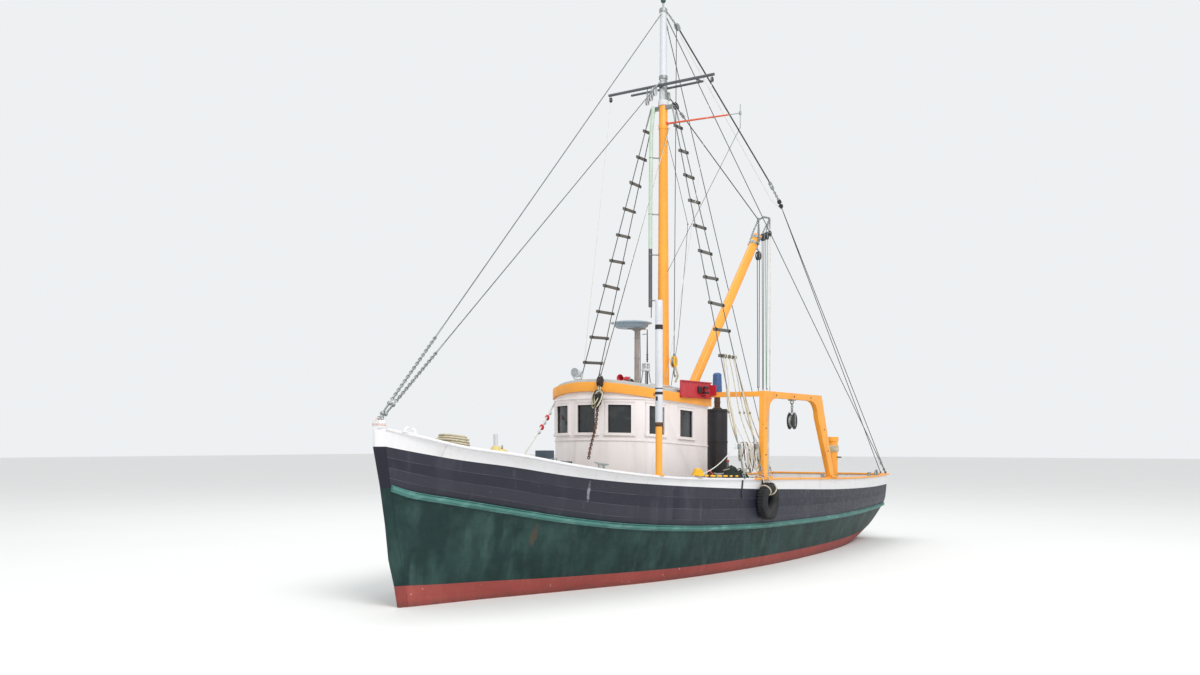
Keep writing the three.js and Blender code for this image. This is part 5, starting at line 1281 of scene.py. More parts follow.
def chock(pile, x, sign, half=0.13, horn=0.085, high=0.1):
    """An open fairlead on the rail: a foot and two horns."""
    p = hull_at(x, RAIL)
    inside = hull_at(x - 0.2, RAIL)
    along = vec(p.x - inside.x, (p.y - inside.y), p.z - inside.z).normalized()
    middle = vec(p.x, p.y - 0.03, p.z)
    if sign < 0:
        along, middle = vec(along.x, -along.y, along.z), flip(middle)
    pile.beam(middle - along * half + vec(0, 0, 0.008), middle + along * half + vec(0, 0, 0.008), 0.075,
              0.018, 0, 0.004)
    for s in (-1, 1):
        root = middle + along * s * horn + vec(0, 0, 0.012)
        lean = along * s * horn
        pile.tube([root, root + vec(0, 0, high * 0.5), root + vec(0, 0, high * 0.85) - lean * 0.24,
                   root + vec(0, 0, high) - lean * 0.7], [0.026, 0.022, 0.018, 0.012], 10)
        pile.bolt(middle + along * s * (half - 0.012) + vec(0, 0, 0.017), UP, 0.009)


def cleat(pile, x, sign):
    """A horned cleat on the rail."""
    p = hull_at(x, RAIL)
    middle = vec(p.x, sign * (p.y - 0.03), p.z)
    ahead = hull_at(x + 0.15, RAIL)
    along = vec(ahead.x - p.x, sign * (ahead.y - p.y), ahead.z - p.z).normalized()
    for s in (-1, 1):
        pile.bar(middle + along * s * 0.045, middle + along * s * 0.04 + vec(0, 0, 0.055), 0.019, 0.015, 10)
    pile.tube([middle + along * t + vec(0, 0, h) for t, h in
               ((-0.14, 0.075), (-0.09, 0.064), (0, 0.06), (0.09, 0.064), (0.14, 0.075))],
              [0.008, 0.014, 0.016, 0.014, 0.008], 10)
    pile.beam(middle - along * 0.075 + vec(0, 0, 0.004), middle + along * 0.075 + vec(0, 0, 0.004), 0.05,
              0.01, 0, 0.002)


pile = Pile()
for sign in (1, -1):
    chock(pile, 6.83, sign, 0.1, 0.062, 0.058)
pile.piece("bow_chocks", white_band)
pile = Pile()
for sign in (1, -1):
    chock(pile, -6.2, sign)
    for x in (4.2, 1.45, -2.6, -5.6):
        cleat(pile, x, sign)
pile.piece("rail_cleats", galvanised)

# A pole on the port rail: an orange stanchion, a rusty collar and a long white tube
p = hull_at(3.0, RAIL)
x, y = 3.0, p.y - 0.03
pile = Pile()
pile.bar((x, y, p.z), (x, y, 2.35), 0.05, sides=20)
pile.lathe([(0, 0), (0.085, 0), (0.085, 0.012), (0.06, 0.02), (0, 0.02)], (x, y, p.z), UP, 24)
pile.lathe([(0, -0.035), (0.05, -0.034), (0.064, -0.018), (0.066, 0.0), (0.064, 0.018), (0.05, 0.034),
            (0, 0.035)], (x, y, 2.375), UP, 24, 1)
pile.lathe([(0, 0), (0.054, 0), (0.055, 0.01), (0.055, 1.785), (0.051, 1.795), (0.044, 1.795), (0.044, 1.7),
            (0, 1.7)], (x, y, 2.4), UP, 28, 2)
for z, high in ((2.83, 0.022), (2.9, 0.01), (3.8, 0.036)):
    pile.lathe([(0.052, -high), (0.0575, -high + 0.003), (0.0575, high - 0.003), (0.052, high)], (x, y, z),
               UP, 28, 3)
pile.box((x + 0.05, y - 0.012, 2.72), (x + 0.075, y + 0.012, 2.78), 3, 0.003)
pile.piece("rail_pole", [orange, rusty, mast_white, black_iron], "rail_band_port")

# Inside of the bulwarks: frames from deck to cap
for word, sign in SIDES:
    pile = Pile()
    for x in [2.3 - 0.56 * i for i in range(17)]:
        low, high = hull_at(x, DECK), hull_at(x, 0.12)
        top = hull_at(x, RAIL).z - 0.038
        a = vec(x, sign * (low.y - 0.06 - 0.032), low.z + 0.03)
        b = vec(x, sign * (high.y - 0.06 - 0.03), top)
        pile.beam(a, b, 0.075, 0.062, 0, 0.006, (0, sign, 0))
    pile.piece("bulwark_frames_" + word, white_band)

# Mast gear: a conduit, pale above and dark below, with a black cable beside it, and the wireless arm
pile = Pile()
pile.tube([(0.315, -0.165, 5.5), (0.315, -0.165, 6.2), (0.29, -0.16, 7.55), (0.255, -0.14, 8.0)], 0.034, 16)
pile.tube([(0.315, -0.165, 4.48), (0.315, -0.165, 5.51)], 0.0335, 16, 2)
pile.tube([(0.268, -0.176, 4.3), (0.268, -0.176, 6.2), (0.243, -0.171, 7.55), (0.208, -0.152, 8.0)], 0.0075,
          8, 3)
for z in (4.6, 5.4, 6.11, 7.1):
    pile.bar((0.19, -0.05, z), (0.285, -0.143, z), 0.013, sides=12, mat=1)
    pile.ring((0.315 if z < 6.3 else 0.3, -0.165 if z < 6.3 else -0.162, z), UP, 0.036, 0.005, 20, 6, 1)
pile.piece("mast_conduit", [pale_green, galvanised, dark_steel, black_rope], "mast")

pile = Pile()
pile.bar((0.15, 0.02, 7.7), (0.125, 1.27, 7.666), 0.018, 0.014, 14)
pile.bar((0.125, 1.26, 7.666), (0.12, 1.49, 7.66), 0.007, sides=10, mat=1)
pile.box((0.115, 0.068, 7.672), (0.185, 0.09, 7.728), 0, 0.004)
pile.tube([(0.12, 1.49, 7.41), (0.12, 1.49, 7.81)], 0.0065, 10, 1)
pile.bar((0.12, 1.49, 7.63), (0.12, 1.49, 7.69), 0.02, mat=1)
for y in (0.42, 0.98):
    pile.ring((0.1504 - y * 0.02, y, 7.7005 - y * 0.0272), ACROSS, 0.02, 0.004, 12, 6, 1)
pile.piece("aerial_arm", [red_orange, galvanised], "mast")

# A heavy tackle from the truck to the port quarter: block, pendant, turnbuckles, and two parts below them
pile = Pile()
pile.chain([(0.15, 0.065, 9.66), (0.12, 0.12, 9.58), (0.06, 0.19, 9.45)], 0.007, 0.05, 1)
pile.block((0.03, 0.215, 9.4), (-0.5, 0.1, -0.4), 0.14, 1)
head, middle, lower = vec(-0.02, 0.235, 9.35), vec(-2.91, 0.572, 7.217), vec(-3.328, 0.651, 6.753)
pile.tube([head, middle], 0.014, 8, 2)
pile.tube([head - vec(0.02, 0.0, 0.1), middle - vec(0.1, 0.0, 0.35), lower + vec(0.02, 0.02, -0.05)], 0.006,
          6, 3)
pile.turnbuckle(middle + vec(-0.16, 0.025, -0.16), middle, 0.02, 1)
pile.chain([middle + vec(-0.16, 0.025, -0.16), lower + vec(0.1, -0.02, 0.14)], 0.009, 0.055, 1)
pile.turnbuckle(lower, lower + vec(0.1, -0.02, 0.14), 0.024)
quarter = hull_at(-7.1, RAIL)
for side, along in ((0.0, 0.0), (0.09, 0.06)):
    foot = vec(-7.1 + along, quarter.y - 0.03 - side, quarter.z + 0.012)
    pile.tube([lower, foot], 0.0075, 8, 2)
    pile.ring(foot + vec(0, 0, 0.012), ALONG, 0.02, 0.006, 14, 6, 1)
pile.piece("masthead_tackle", [black_iron, galvanised, dark_wire, white_rope])

# The hoist beside the mast, with its yellow hook block
pile = Pile()
top, low = vec(0.11, 0.245, 9.4), vec(0.12, 0.2, 3.62)
pile.tube([vec(0.05, 0.2, 9.45), top], 0.006, 6, 1)
pile.tube([top, low], 0.0065, 6, 2)
pile.block(low - vec(0, 0, 0.1), DOWN, 0.2)
pile.tube([low - vec(0, 0, 0.2), low - vec(0, 0, 0.31), low - vec(0.03, 0, 0.36), low - vec(0.07, 0, 0.33)],
          [0.012, 0.014, 0.014, 0.007], 10, 1)
for k in range(3):
    pile.tube([low - vec(0.02 * k, -0.02, 0.2), low - vec(0.03 + 0.02 * k, -0.05, 0.34),
               low - vec(0.01 + 0.02 * k, -0.01, 0.46)], 0.008, 6, 3)
pile.piece("hoist_and_hook", [yellow, galvanised, dark_wire, hemp])

# A slack halyard from the mast, pulled out to port and down to a pin
pile = Pile()
pile.tube([(0.14, 0.085, 7.4), (0.12, 0.29, 6.62), (0.11, 0.47, 5.9), (0.1, 0.42, 5.33), (0.09, 0.27, 3.97),
           (0.1, 0.13, 3.1)], 0.0045, 6)
pile.ring((0.11, 0.47, 5.9), UP, 0.012, 0.005, 12, 6)
pile.ring((0.12, 0.115, 3.08), ALONG, 0.022, 0.006, 14, 6, 1)
pile.piece("slack_halyard", [dark_wire, galvanised])

# Blocks with white cheeks before the topmast's foot, and the wireless lead down to the mast
pile = Pile()
for (x, y, z), size in (((0.33, -0.07, 8.24), 0.16), ((0.3, -0.17, 8.16), 0.14),
                        ((0.27, -0.26, 8.1), 0.12)):
    pile.chain([(0.262, y, 8.325), (x, y, z + size * 0.6)], 0.006, 0.04, 1)
    pile.block((x, y, z), DOWN, size)
pile.piece("yard_blocks", [mast_white, galvanised])
pile = Pile()
pile.tube([(0.12, 1.485, 7.412), (0.17, 0.1, 5.1)], 0.004, 6)
pile.piece("wireless_lead", dark_wire)

# Boom gear: bands, chain bridle, blocks and falls, all of it swinging with the boom
YAW = radians(10.8)


def on_boom(reach, z):
    """A point over the boom's line, so far out from the mast."""
    return vec(-0.04 - reach * cos(YAW), reach * sin(YAW), z)


across = vec(sin(YAW), cos(YAW), 0)
boom_foot, boom_tip = on_boom(0.07, 2.26), on_boom(2.58, 6.1)
boom_way = (boom_tip - boom_foot).normalized()
head_band = boom_foot.lerp(boom_tip, 0.955)
pile = Pile()
for share, r in ((0.035, 0.0885), (0.955, 0.086), (0.985, 0.086)):
    p = boom_foot.lerp(boom_tip, share)
    pile.lathe([(r - 0.002, -0.03), (r + 0.007, -0.028), (r + 0.007, 0.028), (r - 0.002, 0.03)], p,
               boom_way, 26)
for sign in (1, -1):
    pile.ring(head_band + across * sign * 0.105, boom_way, 0.026, 0.008, 14, 8)
under = across.cross(boom_way)
under = under if under.z < 0 else -under
pile.ring(head_band + under * 0.108, boom_way.cross(under), 0.028, 0.009, 14, 8)
lift_link = on_boom(2.62, 6.42)
for sign in (1, -1):
    q = head_band + across * sign * 0.112
    pile.chain([lift_link, q.lerp(lift_link, 0.45) + across * sign * 0.02, q], 0.007, 0.05)
pile.piece("boom_bands_and_bridle", galvanised, body="boom_gear")

pile = Pile()
lift_head = vec(-0.04, 0, 8.23)
pile.tube([lift_head, lift_link], 0.009)
pile.tube([lift_link, boom_tip + boom_way * 0.05], 0.01)
pile.bar(boom_tip + boom_way * 0.0003, boom_tip + boom_way * 0.06, 0.018, sides=16, mat=2)
pile.bar((-0.04, 0, 8.16), (-0.04, 0, 8.2757), 0.03, mat=2)
pile.block(lift_head.lerp(lift_link, 0.07), lift_link - lift_head, 0.15, 1, 2)
pile.turnbuckle(lift_head.lerp(lift_link, 0.17), lift_head.lerp(lift_link, 0.11), 0.016, 2)
pile.ring(lift_link, across, 0.03, 0.01, 16, 8, 2)
pile.piece("topping_lift_tackle", [dark_wire, black_iron, galvanised], "topping_lift", body="boom_gear")

# Falls hang from links beyond the boom's head, and one from under it; each ends in a hook
pile = Pile()
apex = on_boom(2.99, 6.5)
pile.chain([lift_link, on_boom(2.8, 6.5), apex], 0.008, 0.05, 1)
for reach, height, low, line in ((2.77, 6.1, 3.14, 2), (2.88, 6.14, 3.22, 3), (2.99, 6.2, 3.1, 4)):
    head = on_boom(reach, height)
    pile.chain([apex, head + vec(0, 0, 0.1)], 0.006, 0.045, 1)
    pile.block(head, DOWN, 0.15 if reach < 2.95 else 0.11, 0, 1, across)
    for side in (-0.03, 0.03):
        pile.tube([on_boom(reach + side, height - 0.04), on_boom(reach + side * 0.3, low)], 0.0065, 6, line)
    pile.tube([on_boom(reach, low + 0.02), on_boom(reach, low - 0.05), on_boom(reach + 0.02, low - 0.08),
               on_boom(reach + 0.04, low - 0.05)], [0.008, 0.01, 0.01, 0.006], 8, 1)
hang = on_boom(2.62, 5.72)
pile.chain([head_band + under * 0.11, hang + vec(0, 0, 0.09)], 0.006, 0.045, 1)
pile.block(hang, DOWN, 0.17, 0, 1, across)
for side in (-0.035, 0.035):
    pile.tube([on_boom(2.62 + side, 5.68), on_boom(2.62 + side * 0.6, 3.16)], 0.0075, 6, 2)
pile.tube([on_boom(2.62, 3.18), on_boom(2.62, 3.1), on_boom(2.64, 3.07), on_boom(2.66, 3.1)],
          [0.009, 0.012, 0.012, 0.006], 8, 1)
pile.piece("cargo_falls", [black_iron, galvanised, dark_wire, green_rope, white_rope], body="boom_gear")

# Gallows: bolted feet, edge plates, the hanging warp block and its shackle
GALLOWS_Y = 1.8
for word, sign in SIDES:
    pile = Pile()
    for x in (-0.12, -3.05):
        z = hull_at(x, RAIL).z + 0.026
        for dx in (-0.13, 0.13):
            for dy in (-0.055, 0.065):
                pile.bolt((x + dx, sign * (GALLOWS_Y + dy), z), UP, 0.014)
    for x in (-0.55, -1.28, -2.0):
        for dy in (-1, 1):
            pile.bolt((x, sign * GALLOWS_Y + dy * 0.045, 2.92), (0, dy, 0), 0.012)
    for x, z in ((-0.13, 2.35), (-0.13, 1.9), (-2.62, 2.35), (-2.8, 1.95)):
        for dy in (-1, 1):
            pile.bolt((x, sign * GALLOWS_Y + dy * 0.045, z), (0, dy, 0), 0.012)
    pile.box((-1.36, sign * GALLOWS_Y - 0.04, 2.848), (-1.2, sign * GALLOWS_Y + 0.04, 2.872), 1, 0.003)
    pile.ring((-1.28, sign * GALLOWS_Y, 2.82), ALONG, 0.03, 0.01, 16, 8, 1)
    pile.chain([(-1.28, sign * GALLOWS_Y, 2.8), (-1.28, sign * GALLOWS_Y, 2.67)], 0.009, 0.06, 1)
    pile.block((-1.28, sign * GALLOWS_Y, 2.49), DOWN, 0.3, 2, 1)
    pile.piece("gallows_gear_" + word, [rusty, galvanised, black_iron])
pile = Pile()
pile.chain([(-3.1, 1.72, 2.0), (-3.16, 1.66, 1.85), (-3.2, 1.64, 1.7), (-3.22, 1.62, 1.55)], 0.006, 0.045)
pile.piece("gallows_leg_chain", rusty)

# Towing posts: painted caps, turns of rope and a pin through each
for word, sign in SIDES:
    pile = Pile()
    x, y = -3.84, 1.5 * sign
    pile.lathe([(0, 0.003), (0.112, 0.003), (0.118, 0.0), (0.118, -0.004)], (x, y, 2.221), UP, 26)
    for k in range(5):
        turn = [(x + 0.118 * cos(t), y + 0.118 * sin(t), 1.94 + 0.026 * k + 0.005 * sin(t + k))
                for t in circle(28)]
        pile.tube(turn, 0.0135, 8, 1, closed=True)
    pile.bar((x, y - 0.19, 1.82), (x, y + 0.19, 1.82), 0.017, mat=2)
    pile.piece("towing_post_gear_" + word, [pale_yellow, hemp, galvanised])

# Winch: wound drums that turn with the shaft, and the gear on the frame
pile = Pile()
WINCH_X, WINCH_Z = -0.91, 1.33


def wound(y0, y1):
    """One drum between two flanges, wound with wire."""
    core, flange = 0.165, 0.215
    profile = [(0.034, y0 - 0.014), (flange - 0.008, y0 - 0.014), (flange, y0 - 0.006),
               (flange, y0 + 0.008), (flange - 0.01, y0 + 0.014), (core, y0 + 0.014)]
    y, step = y0 + 0.02, 0.016
    while y < y1 - 0.03:
        wave = 0.012 * sin(y * 9) + 0.006 * sin(y * 31)
        for t in (0.0, 0.25, 0.5, 0.75):
            profile.append((core + wave + 0.007 * sin(pi * t) + 0.002, y + step * t))
        y += step
    profile += [(core, y1 - 0.014), (flange - 0.01, y1 - 0.014), (flange, y1 - 0.008), (flange, y1 + 0.006),
                (flange - 0.008, y1 + 0.014), (0.034, y1 + 0.014)]
    for part, mat in ((profile[:6], 0), (profile[5:-5], 1), (profile[-6:], 0)):
        pile.lathe(part, (WINCH_X, 0, WINCH_Z), ACROSS, 40, mat)
    for y, s in ((y0 - 0.014, -1), (y1 + 0.014, 1)):
        for t in circle(8):
            spot = (WINCH_X + 0.115 * cos(t), y, WINCH_Z + 0.115 * sin(t))
            pile.bolt(spot, (0, s, 0), 0.009)


wound(-0.77, -0.07)
wound(0.07, 0.77)
pile.bar((WINCH_X, -1.01, WINCH_Z), (WINCH_X, 1.01, WINCH_Z), 0.034, sides=24, mat=2)
for sign in (1, -1):
    head = [(0.034, 0.885), (0.088, 0.89), (0.095, 0.9), (0.07, 0.93), (0.062, 0.955), (0.07, 0.98),
            (0.1, 0.998), (0.1, 1.008), (0.03, 1.01), (0.0, 1.01)]
    pile.lathe([(r, h * sign) for r, h in head], (WINCH_X, 0, WINCH_Z), ACROSS, 28, 2)
pile.piece("winch_drums_wound", [rusty, dark_wire, galvanised], "winch_drums", body="drums")
pile = Pile()
for y in (-0.838, 0.0, 0.838):
    for s in (-1, 1):
        pile.bolt((WINCH_X + s * 0.1, y, WINCH_Z + 0.132), UP, 0.016)
        pile.bolt((WINCH_X + s * 0.06, y, WINCH_Z + 0.132), UP, 0.01)
    pile.box((WINCH_X - 0.075, y - 0.03, WINCH_Z + 0.045), (WINCH_X + 0.075, y + 0.03, WINCH_Z + 0.135), 1,
             0.01)
for y in (-0.838, 0.838):
    for s in (-1, 1):
        pile.box((WINCH_X + s * 0.2 - 0.03, y - 0.02, 0.9), (WINCH_X + s * 0.2 + 0.03, y + 0.02, 0.96), 1,
                 0.004)
        pile.bolt((WINCH_X + s * 0.225, y - copysign(0.06, y), 0.915), UP, 0.012)
for y, lean in ((-0.84, 0.1), (0.84, -0.1), (0.0, 0.12)):
    base = vec(WINCH_X + 0.19, y, 1.05)
    pile.tube([base, base + vec(0.03, 0, 0.5), base + vec(0.05 + lean * 0.2, 0, 0.72)],
              [0.014, 0.012, 0.011], 10, 1)
    pile.ball(base + vec(0.05 + lean * 0.2, 0, 0.73), 0.024, 12, 2)
    pile.beam((WINCH_X + 0.14, y, 1.05), (WINCH_X + 0.24, y, 1.05), 0.04, 0.05, 1, 0.004)
for sign in (1, -1):
    wheel = vec(WINCH_X + 0.22, sign * 0.42, 1.5)
    pile.ring(wheel, ALONG, 0.11, 0.011, 26, 8, 2)
    for k in range(4):
        t = pi / 4 + pi / 2 * k
        pile.tube([wheel, wheel + vec(0, 0.11 * cos(t), 0.11 * sin(t))], 0.007, 6, 2)
    pile.tube([wheel, wheel - vec(0, 0, 0.56)], 0.012, 8, 1)
pile.piece("winch_brakes", [rusty, grey_steel, red_orange])

# Hold hatch: iron straps and ring bolts on the cover, clips and a band on the coaming
pile = Pile()
top = 1.1713
for x in (-3.42, -3.72, -4.02):
    pile.box((x - 0.028, -0.615, top), (x + 0.028, 0.615, top + 0.007), 0, 0.002)
    for y in (-0.58, -0.38, -0.13, 0.13, 0.38, 0.58):
        pile.bolt((x, y, top + 0.007), UP, 0.009)
for y in (-0.32, 0.32):
    pile.ring((-4.12, y, top + 0.018), (1, 0, 0.4), 0.035, 0.007, 16, 8)
pile.piece("hold_cover_straps", galvanised, body="hold_cover")
pile = Pile()
for sign in (1, -1):
    for x in (-3.35, -3.7, -4.05):
        pile.box((x - 0.025, sign * 0.602 - 0.004, 1.02), (x + 0.025, sign * 0.602 + 0.004, 1.1), 0, 0.002)
        pile.bolt((x, sign * 0.606, 1.04), (0, sign, 0), 0.009)
    pile.box((-4.272, sign * 0.6 - 0.003, 0.93), (-3.168, sign * 0.6 + 0.003, 0.955), 0, 0.002)
pile.piece("hold_coaming_irons", rusty)

# Fore hatch: strap hinges, hasp and handle
pile = Pile()
lid = 1.8243
for y in (-0.19, 0.19):
    pile.box((3.42, y - 0.02, lid), (3.8, y + 0.02, lid + 0.006), 0, 0.002)
    for x in (3.46, 3.58, 3.72):
        pile.bolt((x, y, lid + 0.006), UP, 0.008)
pile.tube([(3.4, -0.06, lid), (3.395, -0.06, lid + 0.035), (3.395, 0.06, lid + 0.035), (3.4, 0.06, lid)],
          0.007)
for y in (-0.28, 0.0, 0.28):
    pile.box((3.362, y - 0.012, lid - 0.03), (3.372, y + 0.012, lid + 0.002), 0, 0.002)
pile.piece("fore_lid_irons", galvanised, body="fore_lid")

# Exhaust casing: hoops, rivets, an access plate and the clamp at its head
pile = Pile()
CASING_X, CASING_Y = -1.44, 0.22
for z in (0.98, 1.55, 2.12, 2.69):
    pile.lathe([(0.188, -0.02), (0.194, -0.018), (0.194, 0.018), (0.188, 0.02)], (CASING_X, CASING_Y, z),
               UP, 36)
    for t in circle(16):
        pile.bolt((CASING_X + 0.194 * cos(t), CASING_Y + 0.194 * sin(t), z), (cos(t), sin(t), 0), 0.006)
pile.lathe([(0.05, 0.0), (0.085, 0.002), (0.09, 0.012), (0.075, 0.03), (0.058, 0.035)],
           (CASING_X, CASING_Y, 2.73), UP, 24, 1)
for z in (2.86, 3.0):
    pile.lathe([(0.055, -0.018), (0.061, -0.016), (0.061, 0.016), (0.055, 0.018)], (CASING_X, CASING_Y, z),
               UP, 24, 1)
for k in range(3):
    t = 2 * pi * k / 3 + 0.5
    pile.tube([(CASING_X + 0.055 * cos(t), CASING_Y + 0.055 * sin(t), 3.1),
               (CASING_X + 0.078 * cos(t), CASING_Y + 0.078 * sin(t), 3.16)], 0.006, 6, 1)
pile.box((CASING_X + 0.06, CASING_Y - 0.006 + 0.17, 1.2), (CASING_X + 0.1, CASING_Y + 0.196, 1.45), 0,
         0.003)
pile.piece("exhaust_hoops", [black_iron, rusty])
pile = Pile()
pile.lathe([(0.0, 0.048), (0.035, 0.046), (0.062, 0.035), (0.08, 0.012), (0.0825, -0.01), (0.08, -0.012)],
           (CASING_X, CASING_Y, 3.3623), UP, 28)
pile.piece("stack_cap_crown", blue)

# Tyre: tread, sidewall ribs, and the lanyards that hold it
pile = Pile()
centre = vec(0.01, 1.9555, 1.13)
profile = []
fat = 0.0865
for t in circle(28):
    a, b = cos(t), sin(t)
    flat = (abs(a) ** 4 + abs(b) ** 4) ** -0.25
    profile.append((0.215 + fat * a * min(flat, 1.09), fat * b * min(flat, 1.0)))
pile.lathe(profile + [profile[0]], centre, ACROSS, 48)
for t in circle(36):
    for s in (-1, 1):
        radial = vec(cos(t), 0, sin(t))
        p = centre + radial * 0.303 + vec(0, s * 0.034, 0)
        pile.beam(p - vec(0, 0.026, 0), p + vec(0, 0.026, 0), 0.03, 0.012, 0, 0.003, radial)
for r in (0.19, 0.235):
    pile.ring(centre + vec(0, 0.084, 0), ACROSS, r, 0.004, 40, 6)
pile.piece("tyre", rubber, "tyre_fender")
pile = Pile()
for dx in (-0.1, 0.12):
    loop = []
    for t in circle(22):
        radial = vec(dx, 0, 0.19).normalized()
        loop.append(centre + radial * (0.215 + 0.1 * cos(t)) + vec(0, 0.1 * sin(t), 0))
    pile.tube(loop, 0.011, 8, 0, closed=True)
    high = hull_at(0.01 + dx, RAIL)
    pile.tube([centre + vec(dx * 1.1, 0.0, 0.31), vec(0.01 + dx * 1.05, 1.93, 1.46),
               vec(0.01 + dx, 1.912, high.z + 0.01), vec(0.01 + dx, 1.86, high.z + 0.014),
               vec(0.01 + dx, 1.8, high.z + 0.013)], 0.011)
pile.piece("tyre_lanyards", hemp)

# Searchlight, rebuilt with its yoke, rim and lens
BEAM_X, BEAM_Y = 2.2, -0.4
foot = roof_z(BEAM_X, BEAM_Y)
centre = vec(BEAM_X, BEAM_Y, foot + 0.205)
pile = Pile()
pile.lathe([(0, 0.0), (0.07, 0.0), (0.07, 0.008), (0.045, 0.016), (0.028, 0.022), (0, 0.022)],
           (BEAM_X, BEAM_Y, foot), UP, 22)
pile.bar((BEAM_X, BEAM_Y, foot + 0.01), (BEAM_X, BEAM_Y, centre.z - 0.105), 0.022, 0.02, 16)
for s in (-1, 1):
    pile.tube([(BEAM_X, BEAM_Y, centre.z - 0.105), (BEAM_X, BEAM_Y + s * 0.06, centre.z - 0.1),
               (BEAM_X, BEAM_Y + s * 0.092, centre.z - 0.05),
               (BEAM_X, BEAM_Y + s * 0.092, centre.z + 0.005)], 0.009)
    pile.bolt((BEAM_X, BEAM_Y + s * 0.092, centre.z), (0, s, 0), 0.011, 1)
pile.lathe([(0, -0.075), (0.03, -0.073), (0.055, -0.06), (0.068, -0.03), (0.076, 0.02), (0.079, 0.07),
            (0.08, 0.082), (0.073, 0.082), (0.071, 0.074), (0.066, 0.02), (0.0, -0.03)], centre, ALONG, 32)
pile.lathe([(0.0, 0.079), (0.04, 0.077), (0.0725, 0.07), (0.0725, 0.074), (0.0, 0.083)],
           centre, ALONG, 32, 2)
for t in (0.3, 2.4, 4.5):
    pile.bolt(centre + vec(0.082, 0.076 * cos(t), 0.076 * sin(t)), ALONG, 0.004, 1)
pile.tube([centre + vec(-0.07, 0, -0.02), centre + vec(-0.11, 0, -0.08),
           (BEAM_X - 0.09, BEAM_Y + 0.02, foot + 0.03),
           (BEAM_X - 0.1, BEAM_Y + 0.03, roof_z(BEAM_X - 0.1, BEAM_Y) + 0.008)], 0.006, 8, 3)
pile.piece("searchlight_body", [mast_white, galvanised, clear_lens, black_rope], "searchlight")

# Horn: a trumpet on a bracket with its driver box
HORN_X, HORN_Y = 1.88, 0.3
foot = roof_z(HORN_X, HORN_Y)
pile = Pile()
pile.lathe([(0.0, 0.0), (0.045, 0.0), (0.045, 0.008), (0.0, 0.008)], (HORN_X, HORN_Y, foot), UP, 18)
pile.bar((HORN_X, HORN_Y, foot), (HORN_X, HORN_Y, foot + 0.095), 0.017, sides=14)
pile.lathe([(0, -0.1), (0.03, -0.1), (0.036, -0.09), (0.036, -0.045), (0.026, -0.03), (0.022, 0.0),
            (0.026, 0.05), (0.036, 0.09), (0.05, 0.115), (0.063, 0.126), (0.064, 0.13), (0.06, 0.13),
            (0.046, 0.112), (0.03, 0.085), (0.016, 0.03), (0, 0.0)],
           (HORN_X, HORN_Y, foot + 0.115), ALONG, 32, 1)
pile.box((HORN_X - 0.14, HORN_Y - 0.03, foot + 0.08), (HORN_X - 0.1, HORN_Y + 0.03, foot + 0.15), 0, 0.004)
pile.tube([(HORN_X - 0.13, HORN_Y, foot + 0.085), (HORN_X - 0.15, HORN_Y, foot + 0.03),
           (HORN_X - 0.16, HORN_Y, foot + 0.005)], 0.005, 6, 2)
pile.piece("horn_trumpet", [galvanised, port_red, black_rope], "horn")

# Roof: round dark flasher, lamp on legs, locker, whip post, grab rails and the radar's cable
pile = Pile()
FLASH_X, FLASH_Y = 1.52, 0.2
z = roof_z(FLASH_X, FLASH_Y)
pile.lathe([(0, 0), (0.05, 0), (0.055, 0.02), (0.05, 0.03), (0.03, 0.035), (0, 0.035)],
           (FLASH_X, FLASH_Y, z), UP, 22)
pile.bar((FLASH_X, FLASH_Y, z + 0.03), (FLASH_X, FLASH_Y, z + 0.06), 0.014, sides=12)
pile.lathe([(0, -0.02), (0.04, -0.018), (0.05, -0.01), (0.053, 0.0), (0.05, 0.01), (0, 0.02)],
           (FLASH_X, FLASH_Y, z + 0.09), (1, 0.6, 0), 26)
pile.piece("roof_flasher", black_iron)
pile = Pile()
LAMP_X, LAMP_Y = 1.3, 0.35
z = roof_z(LAMP_X, LAMP_Y)
for dx in (-0.085, 0.085):
    for dy in (-0.06, 0.06):
        pile.tube([(LAMP_X + dx, LAMP_Y + dy, roof_z(LAMP_X + dx, LAMP_Y + dy)),
                   (LAMP_X + dx * 0.45, LAMP_Y + dy * 0.5, 3.3)], 0.009)
pile.lathe([(0, 0), (0.07, 0.0), (0.075, 0.01), (0.075, 0.03), (0.06, 0.04), (0, 0.04)],
           (LAMP_X, LAMP_Y, 3.29), UP, 24, 1)
pile.lathe([(0.055, 0.035), (0.058, 0.05), (0.058, 0.1), (0.045, 0.12), (0, 0.125)], (LAMP_X, LAMP_Y, 3.29),
           UP, 24, 2)
pile.lathe([(0.06, 0.115), (0.064, 0.12), (0.06, 0.13), (0.03, 0.145), (0, 0.15)], (LAMP_X, LAMP_Y, 3.29),
           UP, 24, 1)
for t in circle(6):
    pile.tube([(LAMP_X + 0.064 * cos(t), LAMP_Y + 0.064 * sin(t), 3.325),
               (LAMP_X + 0.064 * cos(t), LAMP_Y + 0.064 * sin(t), 3.41)], 0.003, 6)
pile.piece("roof_lamp", [galvanised, mast_white, clear_lens], "wheelhouse_roof")
pile = Pile()
z = roof_z(0.34, -0.2)
pile.box((0.225, -0.32, z - 0.004), (0.46, -0.085, z + 0.13), 0, 0.008)
pile.box((0.222, -0.328, z + 0.13), (0.468, -0.08, z + 0.145), 0, 0.005)
pile.piece("roof_locker", radome_blue, "wheelhouse_roof")
pile = Pile()
z = roof_z(0.85, 0.1)
pile.lathe([(0, 0), (0.04, 0), (0.04, 0.008), (0.018, 0.03), (0, 0.03)], (0.85, 0.1, z), UP, 18)
pile.tube([(0.85, 0.1, z - 0.01), (0.85, 0.1, 3.55), (0.85, 0.1, 4.03)], [0.016, 0.012, 0.008], 12)
